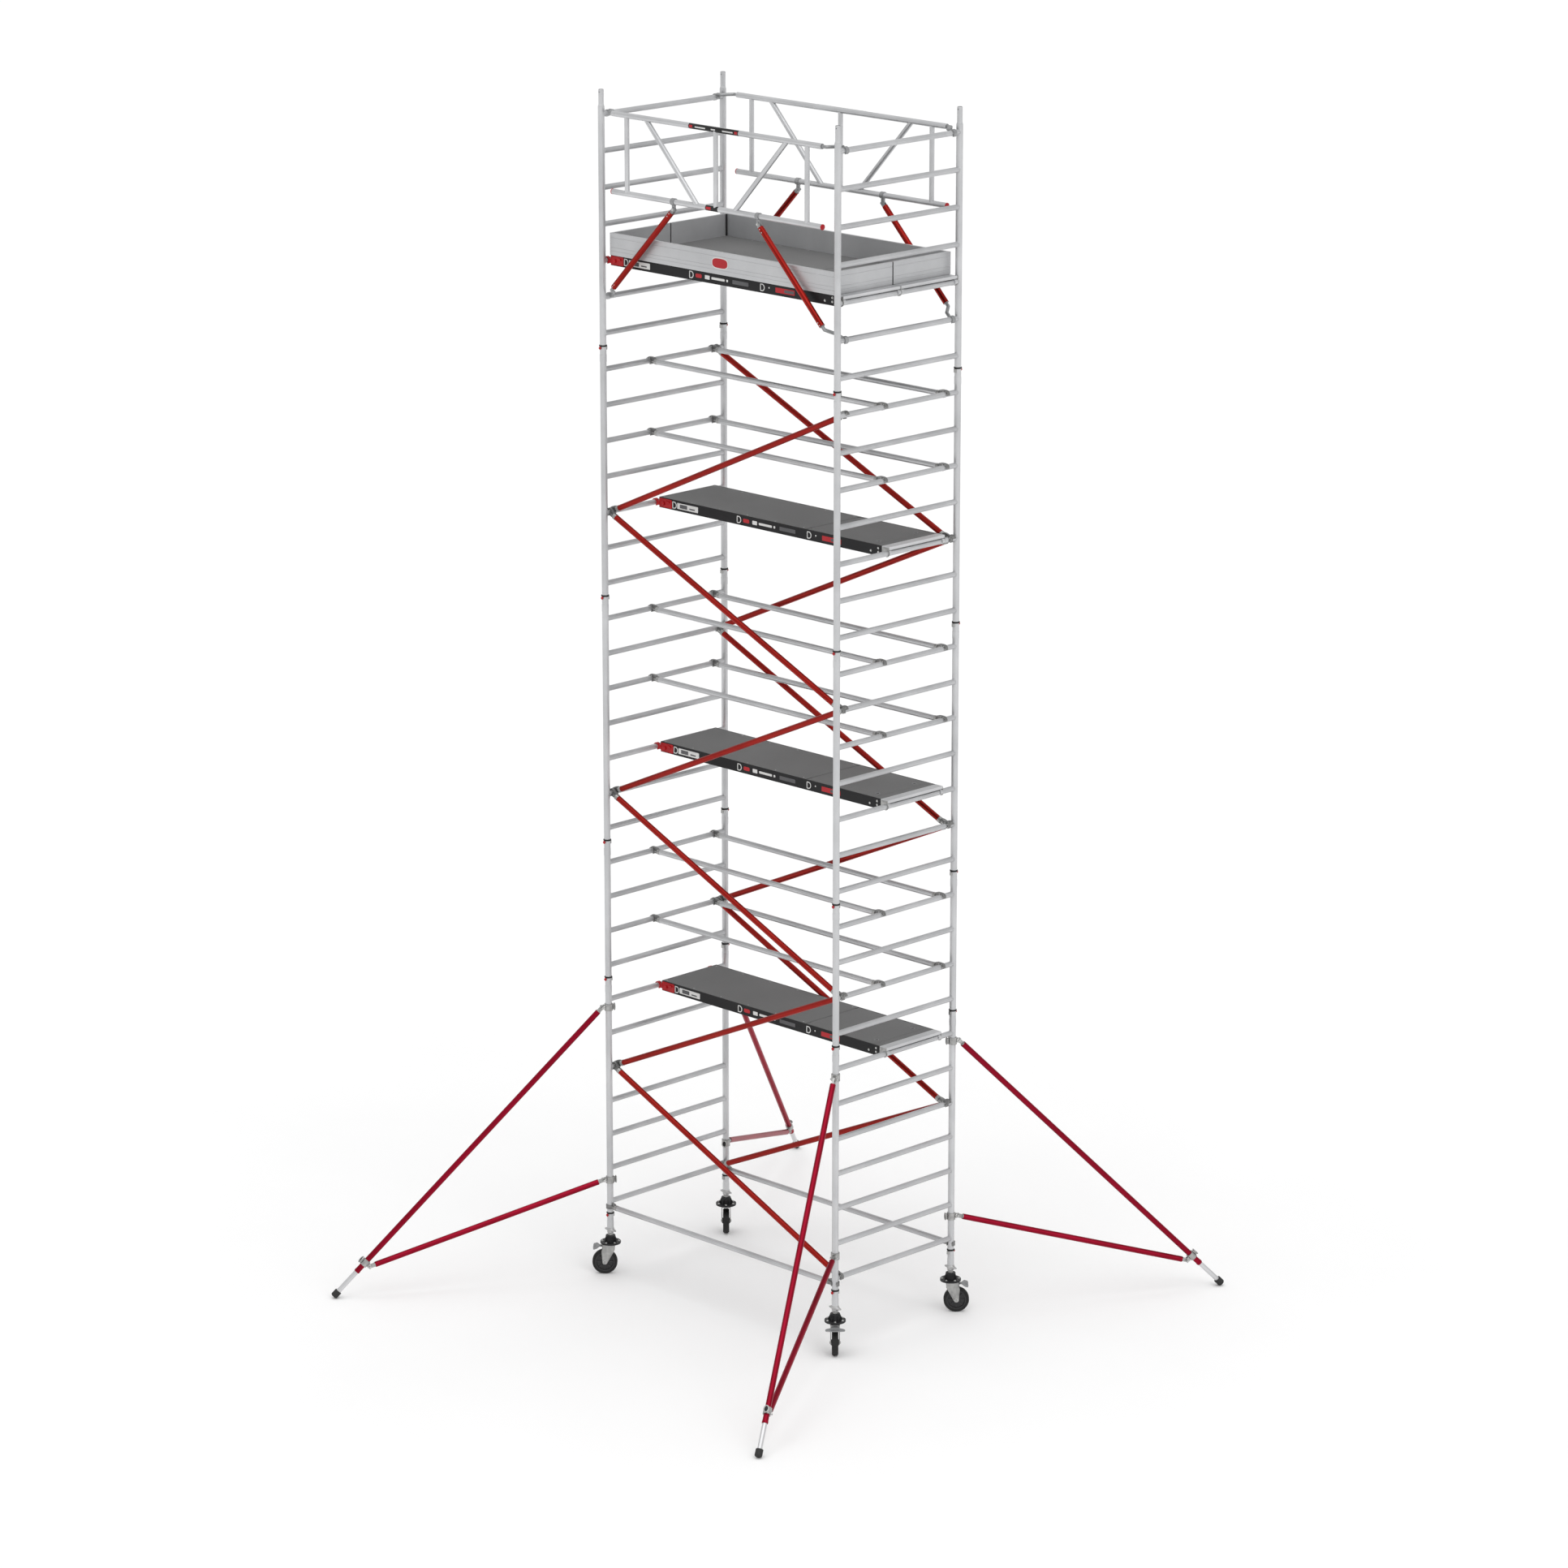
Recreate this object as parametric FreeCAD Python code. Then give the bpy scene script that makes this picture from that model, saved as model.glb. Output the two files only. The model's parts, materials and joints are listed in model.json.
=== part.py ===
"""Mobile tower scaffold: ladder end frames, platforms, braces, guardrails, stabilisers and casters.

Millimetres, +Z up. The origin is on the floor, midway between the four posts. X runs along the long
side of the tower and Y across its end frames. Each node in parts/ is one piece, or one group of
pieces that never move against each other.
"""
import FreeCAD, Part
import math
import os

V = FreeCAD.Vector
ALONG_X = V(1, 0, 0)
ALONG_Y = V(0, 1, 0)
UP = V(0, 0, 1)

# ------------------------------------------------------------------ tower frame
POST_SPAN_X = 2506.0              # between post axes, along the long side
POST_SPAN_Y = 1287.0              # between post axes, across an end frame
RUNG_PITCH = 280.0
FIRST_RUNG_Z = 605.0
FRAME_RUNGS = (7, 4, 7, 7, 7)     # rungs in each end frame, from the bottom up
POST_OD = 50.8
POST_WALL = 2.0
POST_BELOW_RUNG = 219.0           # from the lowest rung to the foot of its posts
POST_ABOVE_RUNG = 61.0            # from the highest rung to the shoulder of its posts
SPIGOT_OD = 41.0
SPIGOT_WALL = 3.5
SPIGOT_LENGTH = 128.0
SPIGOT_LEAD = 3.0                 # height of the bevel at the tip of a spigot
SPIGOT_BEVEL = 2.0
SPIGOT_TAIL = 30.0                # how far a spigot reaches down inside its own post
BORE_TAPER = 10.0
SHOULDER_OD = 45.0                # step at the root of the spigot
SHOULDER_LENGTH = 12.0
BELL_OD = 54.0
BELL_LENGTH = 60.0
BELL_TAPER = 8.0
SLEEVE_LENGTH = 140.0             # thick part inside the foot of a post, which guides the spigot
SLEEVE_TAPER = 6.0
SHOULDER_TAPER = 2.0
RUNG_OD = 42.0
RUNG_WALL = 2.0
FLUTES = 12
FLUTE_RADIUS = 1.3
LOCK_HOLE_Z = 108.0               # locking hole above the foot of a post and above its shoulder
LOCK_HOLE_OD = 10.0
CLIP_WIDTH = 22.0
CLIP_THICK = 9.0
CLIP_BELOW = 18.0                 # clip pad below and above its pin
CLIP_ABOVE = 9.0
CLIP_SINK = 2.0                   # how far the pad's back is hollowed by the post
BAND_HEIGHT = 12.0
BAND_THICK = 4.0
BAND_BULGE = 2.0
GAP = 0.3                         # air between curved faces and between pieces that move
SEAT = 0.5                        # air between a claw and the rung it sits on

# ------------------------------------------------------------------ braces and rails
BRACE_OD = 42.0                   # level guard rails and base tubes
DIAGONAL_OD = 45.0
TUBE_WALL = 2.0
CLAW_WALL = 8.0
CLAW_WIDTH = 32.0
CLAW_MOUTH = 30.0                 # from the rung axis to beyond the open side
CLAW_LIP = 12.0                   # how far past the rung axis the mouth is cut, towards the stem
MOUTH_TOP_SHARE = 0.35            # top of the mouth below the axis, as a share of the seat radius
STEM_SHARE = 0.55                 # half height of a claw's stem, as a share of its outer radius
STEM_INSET = 3.0                  # stem narrower than its claw, each side
CLAW_NECK = 62.0                  # from the rung axis to where the tube starts
NECK_PLUG = 24.0                  # how far the claw's neck goes into its tube
RAIL_RUNGS = (9, 11, 16, 18, 23, 25)
RAIL_FRONT_Y = -150.0
RAIL_CLEAR = 1.5                  # air between the back rails and the diagonals beside them
CLAW_SPACING = 2.0                # air between two diagonal claws on one rung
DIAGONAL_RUNGS = (1, 5, 9, 13, 17, 21, 25)
BASE_TUBE_DROP = 43.0             # base tubes below the first rung

# ------------------------------------------------------------------ platforms
PLATFORM_RUNGS = (7, 14, 21, 28)
DECK_ABOVE_RUNG = 50.0
DECK_END_INSET = 53.0             # from the rung axis to the end of a platform
PLATFORM_WIDTH = 600.0
SINGLE_PLATFORM_INSET = 153.5     # from the back posts' axes to the edge of a single platform
TOP_PLATFORM_GAP = 10.0
BEAM_HEIGHT = 82.0
BEAM_THICK = 24.0
BEAM_LIP = 8.0
BEAM_WALL = 3.0
DECK_THICK = 12.0
CROSS_WIDTH = 40.0
CROSS_HEIGHT = 40.0
HATCH_START = 400.0
HATCH_LENGTH = 730.0
HATCH_HINGE_OD = 12.0
HATCH_GAP = 2.0                   # air round the trapdoor
HINGE_CLEAR = 1.0                 # air between the hinge barrel and the panels beside it
HINGE_LEAF_INSET = 3.0            # leaf thinner than the deck, each side
KNUCKLE_END_SHARE = 0.8           # outer end of the outer knuckles, as a share of half the width
FINGER_HOLE_OD = 26.0
FINGER_HOLE_INSET = 60.0          # from the free edge of the trapdoor
FINGER_HOLE_Y = 200.0
HOOK_THICK = 6.0
HOOK_OVERHANG = 22.0              # end hook past the rung axis
HOOK_APRON = 22.0                 # height of its turned-down outer edge
GRIP_WIDTH = 26.0
GRIP_RISER = 24.0

# ------------------------------------------------------------------ toe boards
TOE_HEIGHT = 170.0
TOE_THICK = 22.0
TOE_END_INSET = 7.0               # outer faces of the end boards, from the platform ends
TOE_SIDE_OVERHANG = 15.0          # outer faces of the long boards, beyond the platform edges
TOE_HINGE_OD = 10.0
TOE_GROOVES = (0.2, 0.36, 0.8)    # grooves up the outer face, as shares of the height
TOE_GROOVE_DEPTH = 1.5
TOE_GROOVE_HALF = 2.0
TOE_GROOVE_FLOOR = 1.0

# ------------------------------------------------------------------ guardrail frames
GUARD_OUTSIDE = 16.5              # guardrail axes beyond the post axes
GUARD_OD = 42.0
GUARD_POST_OD = 38.0
GUARD_END_INSET = 143.0           # ends of the rails, from the post axes
GUARD_RUNG = 32
GUARD_RISE = 23.0                 # top rail above its rung
GUARD_HEIGHT = 593.0              # between the two rails
GUARD_POST_INSET = 155.0          # outer posts, from the ends of the rails
GUARD_DIAGONAL_X = (750.0, 195.0)
STRUT_RUNG = 27
STRUT_TOP_X = 450.0
STRUT_DROP = 60.0                 # strut head below the lower rail
STRUT_FOOT_INSET = 141.0          # from the post axes
STRUT_FOOT_RISE = 95.0            # strut foot above its rung
STRUT_OD = 45.0
STRUT_HEAD_GAP = 30.0             # from the head pin to where the strut's tube starts
PLUG_LENGTH = 30.0
HEAD_PLUG = 20.0
HOOK_ROD_OD = 26.0
GUARD_BEND_X = (105.0, 50.0, 16.0)  # bends and end of the guard hook's arm, inward from the rung axis
STRUT_BEND = (70.0, 22.0, 40.0)   # bend of the strut hook's arm: in x, outward in y, above the rung
STRUT_ARM_END = (18.0, 14.0)      # end of that arm: in x, above the rung
COLLAR_WALL = 6.0
COLLAR_WIDTH = 34.0
BRACKET_TONGUE = 14.0
BRACKET_HALF = 15.0
BRACKET_BELOW_PIN = 14.0
BRACKET_PIN_OD = 12.0
BRACKET_CHEEK = 6.0               # cheeks of the strut's forked head beside the tongue
BRACKET_CLEAR = 3.0
PIN_END = 3.0                     # a pin stands out this far beyond the cheeks
HOOK_INSET = 73.5                 # where the hooks sit on a rung, from the post axes

# ------------------------------------------------------------------ stabilisers
ARM_OD = 45.0
ARM_WALL = 3.0
ARM_SLOPE = 45.2                  # degrees below level
ARM_BEARING = 60.0                # degrees from the long side
UPPER_CLAMP_Z = 2222.0
LOWER_CLAMP_Z = 787.0
CLAMP_HEIGHT = 54.0
CLAMP_WALL = 8.0
CLAMP_PIN_X = 52.0
CLAMP_PIN_OD = 12.0
EAR_THICK = 6.0
EAR_HALF = 15.0                   # half height of the ears, and radius of the tongue's end
EAR_ROOT = 10.0
EAR_BEYOND_PIN = 14.0
PIN_BEYOND_EAR = 5.0
LEVER_REACH = 12.0
LEVER_ROOT = 3.0
LEVER_HALF = 8.0
LEVER_INSET = 6.0
TONGUE_THICK = 14.0
TONGUE_LENGTH = 44.0              # from the pin to the end of the tongue, inside the arm's plug
FITTING_PLUG = 46.0
FITTING_PLUG_START = 40.0
ARM_START = 46.0                  # from a pin to where the arm's tube starts
JUNCTION_REACH = 2745.0           # along the main arm, from its upper pin
ARM_END_REACH = 2845.0
FOOT_TUBE_WALL = 3.0
FOOT_TUBE_INSIDE = 520.0
FOOT_CAP_OD = 58.0
FOOT_CAP_LENGTH = 58.0
FOOT_CAP_ROUND = 14.0
FOOT_CAP_FLOOR = 12.0

# ------------------------------------------------------------------ casters
WHEEL_OD = 200.0
TYRE_WIDTH = 49.0
RIM_OD = 156.0
HUB_OD = 46.0
HUB_WIDTH = 60.0
AXLE_OD = 12.0
AXLE_NUT_R = 10.0                 # to the corners of its hexagon
AXLE_NUT_THICK = 7.0
AXLE_HOLE_CLEAR = 0.1
BEARING_FIT = 0.05                # radial air of a pin in its bore
TRAIL = 46.0
TYRE_SIDE_INSET = 3.0
TYRE_SHOULDER = (7.0, 8.0)        # bevel of the tread: inward, along the axle
RIM_INSET = 4.0
RIM_DEPTH = 8.0
DISC_HALF = 8.0
HUB_FLARE = 3.0
HUB_FLARE_HALF = 10.0
FORK_WIDTH = 70.0
FORK_PLATE = 4.5
FORK_TOP_Z = 246.0
FORK_TOP_THICK = 10.0
FORK_BACK_X = -34.0
FORK_FRONT_X = 64.0
FORK_HEAD_DROP = 24.0             # straight edge at the front of the cheeks
FORK_SHOULDER = (26.0, 88.0)      # where the front edge turns down: beyond and above the axle
FORK_BACK_RISE = 106.0
FORK_TIP = ((19.0, -6.0), (10.0, -17.0))  # rounded tip of a cheek, beyond and below the axle
BEARING_R = 28.0
FLANGE_OD = 164.0
FLANGE_Z = 256.0
FLANGE_THICK = 14.0
HOUSING_OD = 78.0
HOUSING_TOP_Z = 323.0
SPINDLE_ROD = 400.0
SPINDLE_WALL = 4.5
LEG_SOCKET = 20.0                 # depth of the leg in its housing
HOUSING_BEVEL = 4.0
KINGPIN_CLEAR = 4.0               # between the kingpin's end and the leg
KINGPIN_OD = 16.0
NUT_HEIGHT = 44.0
NUT_OD = 61.0
NUT_SPAN = 126.0
WING_HALF = 6.0
WING_INSET = 10.0
PEDAL_X = 52.0
PEDAL_Z = 226.0
PEDAL_REACH = 88.0
PEDAL_PIN_OD = 10.0
PEDAL_HUB_R = 8.5
PEDAL_HALF_WIDTH = 46.0
PEDAL_TREAD = 26.0
PEDAL_TREAD_THICK = 7.0
PEDAL_ARM_Y = (10.0, 28.0)
PEDAL_ARM_Z = (-2.0, 5.0)
PEDAL_ARM_SHORT = 10.0

# ------------------------------------------------------------------ sizes worked out from the above
HALF_X = POST_SPAN_X / 2
HALF_Y = POST_SPAN_Y / 2
POST_R = POST_OD / 2
SLEEVE_BORE = SPIGOT_OD + 2 * GAP
DECK_HALF_LENGTH = HALF_X - DECK_END_INSET
SINGLE_PLATFORM_Y = HALF_Y - SINGLE_PLATFORM_INSET - PLATFORM_WIDTH / 2
TOE_OUT_X = DECK_HALF_LENGTH - TOE_END_INSET
TOE_OUT_Y = PLATFORM_WIDTH + TOP_PLATFORM_GAP / 2 + TOE_SIDE_OVERHANG
GUARD_Y = HALF_Y + GUARD_OUTSIDE
GUARD_HALF_LENGTH = HALF_X - GUARD_END_INSET
GUARD_POST_X = GUARD_HALF_LENGTH - GUARD_POST_INSET
STRUT_FOOT_X = HALF_X - STRUT_FOOT_INSET
HOOK_Y = HALF_Y - HOOK_INSET
FOOT_TUBE_OD = ARM_OD - 2 * ARM_WALL - 2 * GAP
CLAW_STEP = (CLAW_WIDTH + CLAW_SPACING) / 2
DIAGONAL_Y = HALF_Y - POST_R - SEAT - CLAW_WALL - SEAT - CLAW_WIDTH / 2 - CLAW_STEP
RAIL_BACK_Y = DIAGONAL_Y - CLAW_STEP - DIAGONAL_OD / 2 - BRACE_OD / 2 - RAIL_CLEAR
CORNERS = {"front_left": (-1, -1), "front_right": (1, -1), "back_left": (-1, 1), "back_right": (1, 1)}


def rung_z(number):
    """Height of a rung's axis, counted from 1 at the bottom."""
    return FIRST_RUNG_Z + RUNG_PITCH * (number - 1)


def moved(shape, x=0.0, y=0.0, z=0.0):
    piece = shape.copy()
    piece.translate(V(x, y, z))
    return piece


def turned_about(shape, degrees, axis=UP, centre=V(0, 0, 0)):
    piece = shape.copy()
    piece.rotate(centre, axis, degrees)
    return piece


def unit(vector):
    return vector * (1 / vector.Length)


def pointed(shape, start, direction):
    """A piece built up the Z axis from the origin, moved to start and pointed along direction."""
    piece = shape.copy()
    piece.Placement = FreeCAD.Placement(start, FreeCAD.Rotation(UP, direction)).multiply(piece.Placement)
    return piece


def lathe(points):
    """Solid of revolution about Z from a closed outline of (radius, z) points."""
    ring = [V(r, 0, z) for r, z in points]
    return Part.Face(Part.makePolygon(ring + ring[:1])).revolve(V(0, 0, 0), UP, 360)


def pipe(length, outer, wall):
    """Plain round tube up the Z axis from the origin."""
    return Part.makeCylinder(outer / 2, length).cut(Part.makeCylinder(outer / 2 - wall, length))


def fluted_pipe(length, outer, wall):
    """Round tube whose outside has small grooves running along it."""
    face = Part.Face(Part.Wire(Part.makeCircle(outer / 2)))
    notches = []
    for i in range(FLUTES):
        turn = math.radians(360.0 * (i + 0.5) / FLUTES)
        at = V(outer / 2 * math.cos(turn), outer / 2 * math.sin(turn), 0)
        notches.append(Part.Face(Part.Wire(Part.makeCircle(FLUTE_RADIUS, at))))
    bore = Part.Face(Part.Wire(Part.makeCircle(outer / 2 - wall)))
    return face.cut(notches + [bore]).Faces[0].extrude(V(0, 0, length))


def outline(points, depth):
    """Flat outline of (x, z) points, extruded by depth along +Y from y = -depth / 2."""
    ring = [V(x, -depth / 2, z) for x, z in points]
    return Part.Face(Part.makePolygon(ring + ring[:1])).extrude(V(0, depth, 0))


def box(x0, x1, y0, y1, z0, z1):
    return Part.makeBox(x1 - x0, y1 - y0, z1 - z0, V(x0, y0, z0))


def group(pieces):
    return Part.makeCompound(pieces)


def save(name, shape):
    shape.exportStep("parts/" + name + ".step")
    print(name, len(shape.Solids), "solids", "valid" if shape.isValid() else "NOT VALID")


# ------------------------------------------------------------------ end frames
def post(rungs):
    """One post of an end frame: flared foot, sleeve, straight tube, shoulder and spigot."""
    top = POST_BELOW_RUNG + RUNG_PITCH * (rungs - 1) + POST_ABOVE_RUNG
    bore = POST_R - POST_WALL
    spigot_bore = SPIGOT_OD / 2 - SPIGOT_WALL
    shoulder = SHOULDER_OD / 2
    tip = top + SPIGOT_LENGTH
    solid = lathe([
        (shoulder + SEAT, 0), (BELL_OD / 2, 0), (BELL_OD / 2, BELL_LENGTH - BELL_TAPER),
        (POST_R, BELL_LENGTH),
        (POST_R, top), (shoulder, top), (shoulder, top + SHOULDER_LENGTH - SHOULDER_TAPER),
        (SPIGOT_OD / 2, top + SHOULDER_LENGTH), (SPIGOT_OD / 2, tip - SPIGOT_LEAD),
        (SPIGOT_OD / 2 - SPIGOT_BEVEL, tip),
        (spigot_bore, tip), (spigot_bore, top - SPIGOT_TAIL), (bore, top - SPIGOT_TAIL - BORE_TAPER),
        (bore, SLEEVE_LENGTH + SLEEVE_TAPER), (SLEEVE_BORE / 2, SLEEVE_LENGTH),
        (SLEEVE_BORE / 2, SHOULDER_LENGTH + SEAT),
        (shoulder + SEAT, SHOULDER_LENGTH),
    ])
    for z in (LOCK_HOLE_Z, top + LOCK_HOLE_Z):
        solid = solid.cut(Part.makeCylinder(LOCK_HOLE_OD / 2, 2 * BELL_OD, V(0, -BELL_OD, z), ALONG_Y))
    return solid


def rung():
    """Fluted tube between the two posts of a frame, its ends saddled to fit them."""
    tube = pointed(fluted_pipe(POST_SPAN_Y, RUNG_OD, RUNG_WALL), V(0, -HALF_Y, 0), ALONG_Y)
    for side in (-1, 1):
        tube = tube.cut(Part.makeCylinder(POST_R, 2 * RUNG_OD, V(0, side * HALF_Y, -RUNG_OD), UP))
    return tube


def end_frames():
    rung_piece = rung()
    lowest = 1
    for level, count in enumerate(FRAME_RUNGS, start=1):
        post_piece = post(count)
        foot = rung_z(lowest) - POST_BELOW_RUNG
        posts = [moved(post_piece, y=side * HALF_Y, z=foot) for side in (-1, 1)]
        rungs = [moved(rung_piece, z=rung_z(lowest + i)) for i in range(count)]
        for name, side in (("left", -1), ("right", 1)):
            save(f"{name}_end_frame_{level}", group([moved(p, x=side * HALF_X) for p in posts + rungs]))
        lowest += count


def frame_feet():
    """Heights of the feet of the posts, one for each end frame from the bottom up."""
    feet = []
    lowest = 1
    for count in FRAME_RUNGS:
        feet.append(rung_z(lowest) - POST_BELOW_RUNG)
        lowest += count
    return feet


def locking_clips():
    """Spring clip on the rung side of each post foot, with its pin in the locking hole."""
    clips = []
    for level, foot in enumerate(frame_feet()):
        inner = SLEEVE_BORE / 2 + SEAT if level == 0 else SPIGOT_OD / 2 - SPIGOT_WALL + 1
        pad = box(-CLIP_WIDTH / 2, CLIP_WIDTH / 2, POST_R - CLIP_SINK, POST_R + CLIP_THICK,
                  LOCK_HOLE_Z - CLIP_BELOW, LOCK_HOLE_Z + CLIP_ABOVE)
        pad = pad.cut(Part.makeCylinder(POST_R + GAP, 4 * CLIP_BELOW, V(0, 0, LOCK_HOLE_Z - 2 * CLIP_BELOW)))
        reach = POST_R + CLIP_THICK / 2 - inner
        pin = Part.makeCylinder(LOCK_HOLE_OD / 2 - SEAT, reach, V(0, inner, LOCK_HOLE_Z), ALONG_Y)
        clip = pad.fuse(pin)
        for sx, sy in CORNERS.values():
            clips.append(moved(turned_about(clip, 90 + 90 * sy), sx * HALF_X, sy * HALF_Y, foot))
    return group(clips)


def clip_bands():
    """Rubber band round each post foot, which holds the locking clip."""
    low = LOCK_HOLE_Z + CLIP_ABOVE + 1
    high = low + BAND_HEIGHT
    inner = POST_R + GAP
    outer = inner + BAND_THICK
    bulge = (outer + BAND_BULGE, (low + high) / 2)
    band = lathe([(inner, low), (outer, low), bulge, (outer, high), (inner, high)])
    return group([moved(band, sx * HALF_X, sy * HALF_Y, foot)
                  for foot in frame_feet() for sx, sy in CORNERS.values()])


# ------------------------------------------------------------------ claws and braces
def hook(width, neck, stem_width, seat_od=RUNG_OD):
    """Hook round a tube that lies along Y at the origin, open below, with a stem along +X."""
    inner = seat_od / 2 + SEAT
    outer = inner + CLAW_WALL
    ring = Part.makeCylinder(outer, width, V(0, -width / 2, 0), ALONG_Y)
    stem = box(0, neck, -stem_width / 2, stem_width / 2, -STEM_SHARE * outer, STEM_SHARE * outer)
    hole = Part.makeCylinder(inner, 2 * width, V(0, -width, 0), ALONG_Y)
    mouth = box(-CLAW_MOUTH, CLAW_LIP, -width, width, -2 * outer, -MOUTH_TOP_SHARE * inner)
    return ring.fuse(stem).cut([hole, mouth])


def claw(tube_od, seat_od=RUNG_OD):
    """Hook whose neck ends in a plug inside its tube."""
    plug = Part.makeCylinder(tube_od / 2 - TUBE_WALL - GAP, NECK_PLUG, V(CLAW_NECK, 0, 0), ALONG_X)
    return hook(CLAW_WIDTH, CLAW_NECK, CLAW_WIDTH - 2 * STEM_INSET, seat_od).fuse(plug)


def brace(start, end, outer):
    """Fluted tube between two claws that sit on the points given."""
    direction = unit(end - start)
    tube = fluted_pipe((end - start).Length - 2 * CLAW_NECK, outer, TUBE_WALL)
    return pointed(tube, start + direction * CLAW_NECK, direction)


def claw_pair(piece, start, end):
    """The two claws of a brace in an XZ plane, turned to point along it."""
    climb = math.degrees(math.atan2(end.z - start.z, end.x - start.x))
    left = turned_about(piece, -climb, ALONG_Y)
    right = turned_about(turned_about(piece, 180), -climb, ALONG_Y)
    return [moved(left, start.x, start.y, start.z), moved(right, end.x, end.y, end.z)]


def rail_lines():
    return [(V(-HALF_X, y, rung_z(n)), V(HALF_X, y, rung_z(n))) for n in RAIL_RUNGS
            for y in (RAIL_FRONT_Y, RAIL_BACK_Y)]


def base_lines():
    z = FIRST_RUNG_Z - BASE_TUBE_DROP
    return [(V(-HALF_X, side * HALF_Y, z), V(HALF_X, side * HALF_Y, z)) for side in (-1, 1)]


def diagonal_lines():
    """Zig-zag diagonals; two share each rung, so every second one stands one claw further in."""
    lines = []
    for face in (-1, 1):
        for i, (low, high) in enumerate(zip(DIAGONAL_RUNGS, DIAGONAL_RUNGS[1:])):
            low_is_right = (i % 2 == 0) == (face == -1)
            left, right = (high, low) if low_is_right else (low, high)
            y = face * (DIAGONAL_Y + (CLAW_STEP if i % 2 == 0 else -CLAW_STEP))
            lines.append((V(-HALF_X, y, rung_z(left)), V(HALF_X, y, rung_z(right))))
    return lines


def braces():
    save("level_braces", group([brace(a, b, BRACE_OD) for a, b in rail_lines() + base_lines()]))
    save("diagonal_braces", group([brace(a, b, DIAGONAL_OD) for a, b in diagonal_lines()]))
    rail_claw = claw(BRACE_OD)
    diagonal_claw = claw(DIAGONAL_OD)
    post_claw = turned_about(claw(BRACE_OD, POST_OD), 90, ALONG_X)
    claws = [c for a, b in rail_lines() for c in claw_pair(rail_claw, a, b)]
    claws += [c for a, b in diagonal_lines() for c in claw_pair(diagonal_claw, a, b)]
    claws += [c for a, b in base_lines() for c in claw_pair(post_claw, a, b)]
    save("brace_claws", group(claws))


# ------------------------------------------------------------------ platforms
def section(points, x0, x1):
    """Closed outline of (y, z) points, extruded along X."""
    ring = [V(x0, y, z) for y, z in points]
    return Part.Face(Part.makePolygon(ring + ring[:1])).extrude(V(x1 - x0, 0, 0))


def platform_frame():
    """Two hollow side beams with a step that carries the deck, and the cross tubes between them."""
    top = DECK_ABOVE_RUNG
    step = top - DECK_THICK - GAP
    edge = PLATFORM_WIDTH / 2
    inner = edge - BEAM_THICK
    beam = section([(-edge, top), (-edge + BEAM_LIP, top), (-edge + BEAM_LIP, step), (-inner, step),
                    (-inner, top - BEAM_HEIGHT), (-edge, top - BEAM_HEIGHT)],
                   -DECK_HALF_LENGTH, DECK_HALF_LENGTH)
    beam = beam.cut(box(-2 * DECK_HALF_LENGTH, 2 * DECK_HALF_LENGTH, -edge + BEAM_WALL, -inner - BEAM_WALL,
                        top - BEAM_HEIGHT + BEAM_WALL, step - BEAM_WALL))
    pieces = [beam, turned_about(beam, 180)]
    reach = DECK_HALF_LENGTH - CROSS_WIDTH / 2
    half = CROSS_WIDTH / 2
    hollow = half - BEAM_WALL
    for x in (-reach, -HATCH_START, HATCH_START - CROSS_WIDTH, reach):
        tube = box(x - half, x + half, -inner, inner, step - CROSS_HEIGHT, step)
        core = box(x - hollow, x + hollow, -2 * inner, 2 * inner, step - CROSS_HEIGHT + BEAM_WALL,
                   step - BEAM_WALL)
        pieces.append(tube.cut(core))
    return pieces


def deck(x0, x1):
    edge = PLATFORM_WIDTH / 2 - BEAM_LIP - GAP
    return box(x0, x1, -edge, edge, DECK_ABOVE_RUNG - DECK_THICK, DECK_ABOVE_RUNG)


def hinge_knuckle(y0, y1):
    """A stretch of the hatch hinge's barrel, flush with the deck."""
    at = V(HATCH_START, y0, DECK_ABOVE_RUNG - DECK_THICK / 2)
    return Part.makeCylinder(HATCH_HINGE_OD / 2, y1 - y0, at, ALONG_Y)


def deck_with_opening():
    """The fixed deck boards either side of the hatch, with the outer knuckles of its hinge."""
    third = PLATFORM_WIDTH / 6
    clear = HATCH_HINGE_OD / 2 + HINGE_CLEAR
    board = deck(-DECK_HALF_LENGTH, HATCH_START - clear)
    top = DECK_ABOVE_RUNG
    for side in (-1, 1):
        y0, y1 = sorted((side * (third + GAP), side * KNUCKLE_END_SHARE * PLATFORM_WIDTH / 2))
        leaf = box(HATCH_START - clear, HATCH_START, y0, y1, top - DECK_THICK + HINGE_LEAF_INSET,
                   top - HINGE_LEAF_INSET)
        board = board.fuse([hinge_knuckle(y0, y1), leaf])
    return [board, deck(HATCH_START + HATCH_LENGTH + HATCH_GAP, DECK_HALF_LENGTH)]


def hatch():
    """Trapdoor panel with the middle knuckle of its hinge and two finger holes."""
    third = PLATFORM_WIDTH / 6
    clear = HATCH_HINGE_OD / 2 + HINGE_CLEAR
    edge = PLATFORM_WIDTH / 2 - BEAM_LIP - HATCH_GAP
    top = DECK_ABOVE_RUNG
    panel = box(HATCH_START + clear, HATCH_START + HATCH_LENGTH, -edge, edge, top - DECK_THICK, top)
    leaf = box(HATCH_START, HATCH_START + clear, -third, third, top - DECK_THICK + HINGE_LEAF_INSET,
               top - HINGE_LEAF_INSET)
    panel = panel.fuse([hinge_knuckle(-third, third), leaf])
    far = HATCH_START + HATCH_LENGTH - FINGER_HOLE_INSET
    holes = [Part.makeCylinder(FINGER_HOLE_OD / 2, 3 * DECK_THICK, V(far, y, top - 2 * DECK_THICK), UP)
             for y in (-FINGER_HOLE_Y, FINGER_HOLE_Y)]
    return panel.cut(holes)


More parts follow.
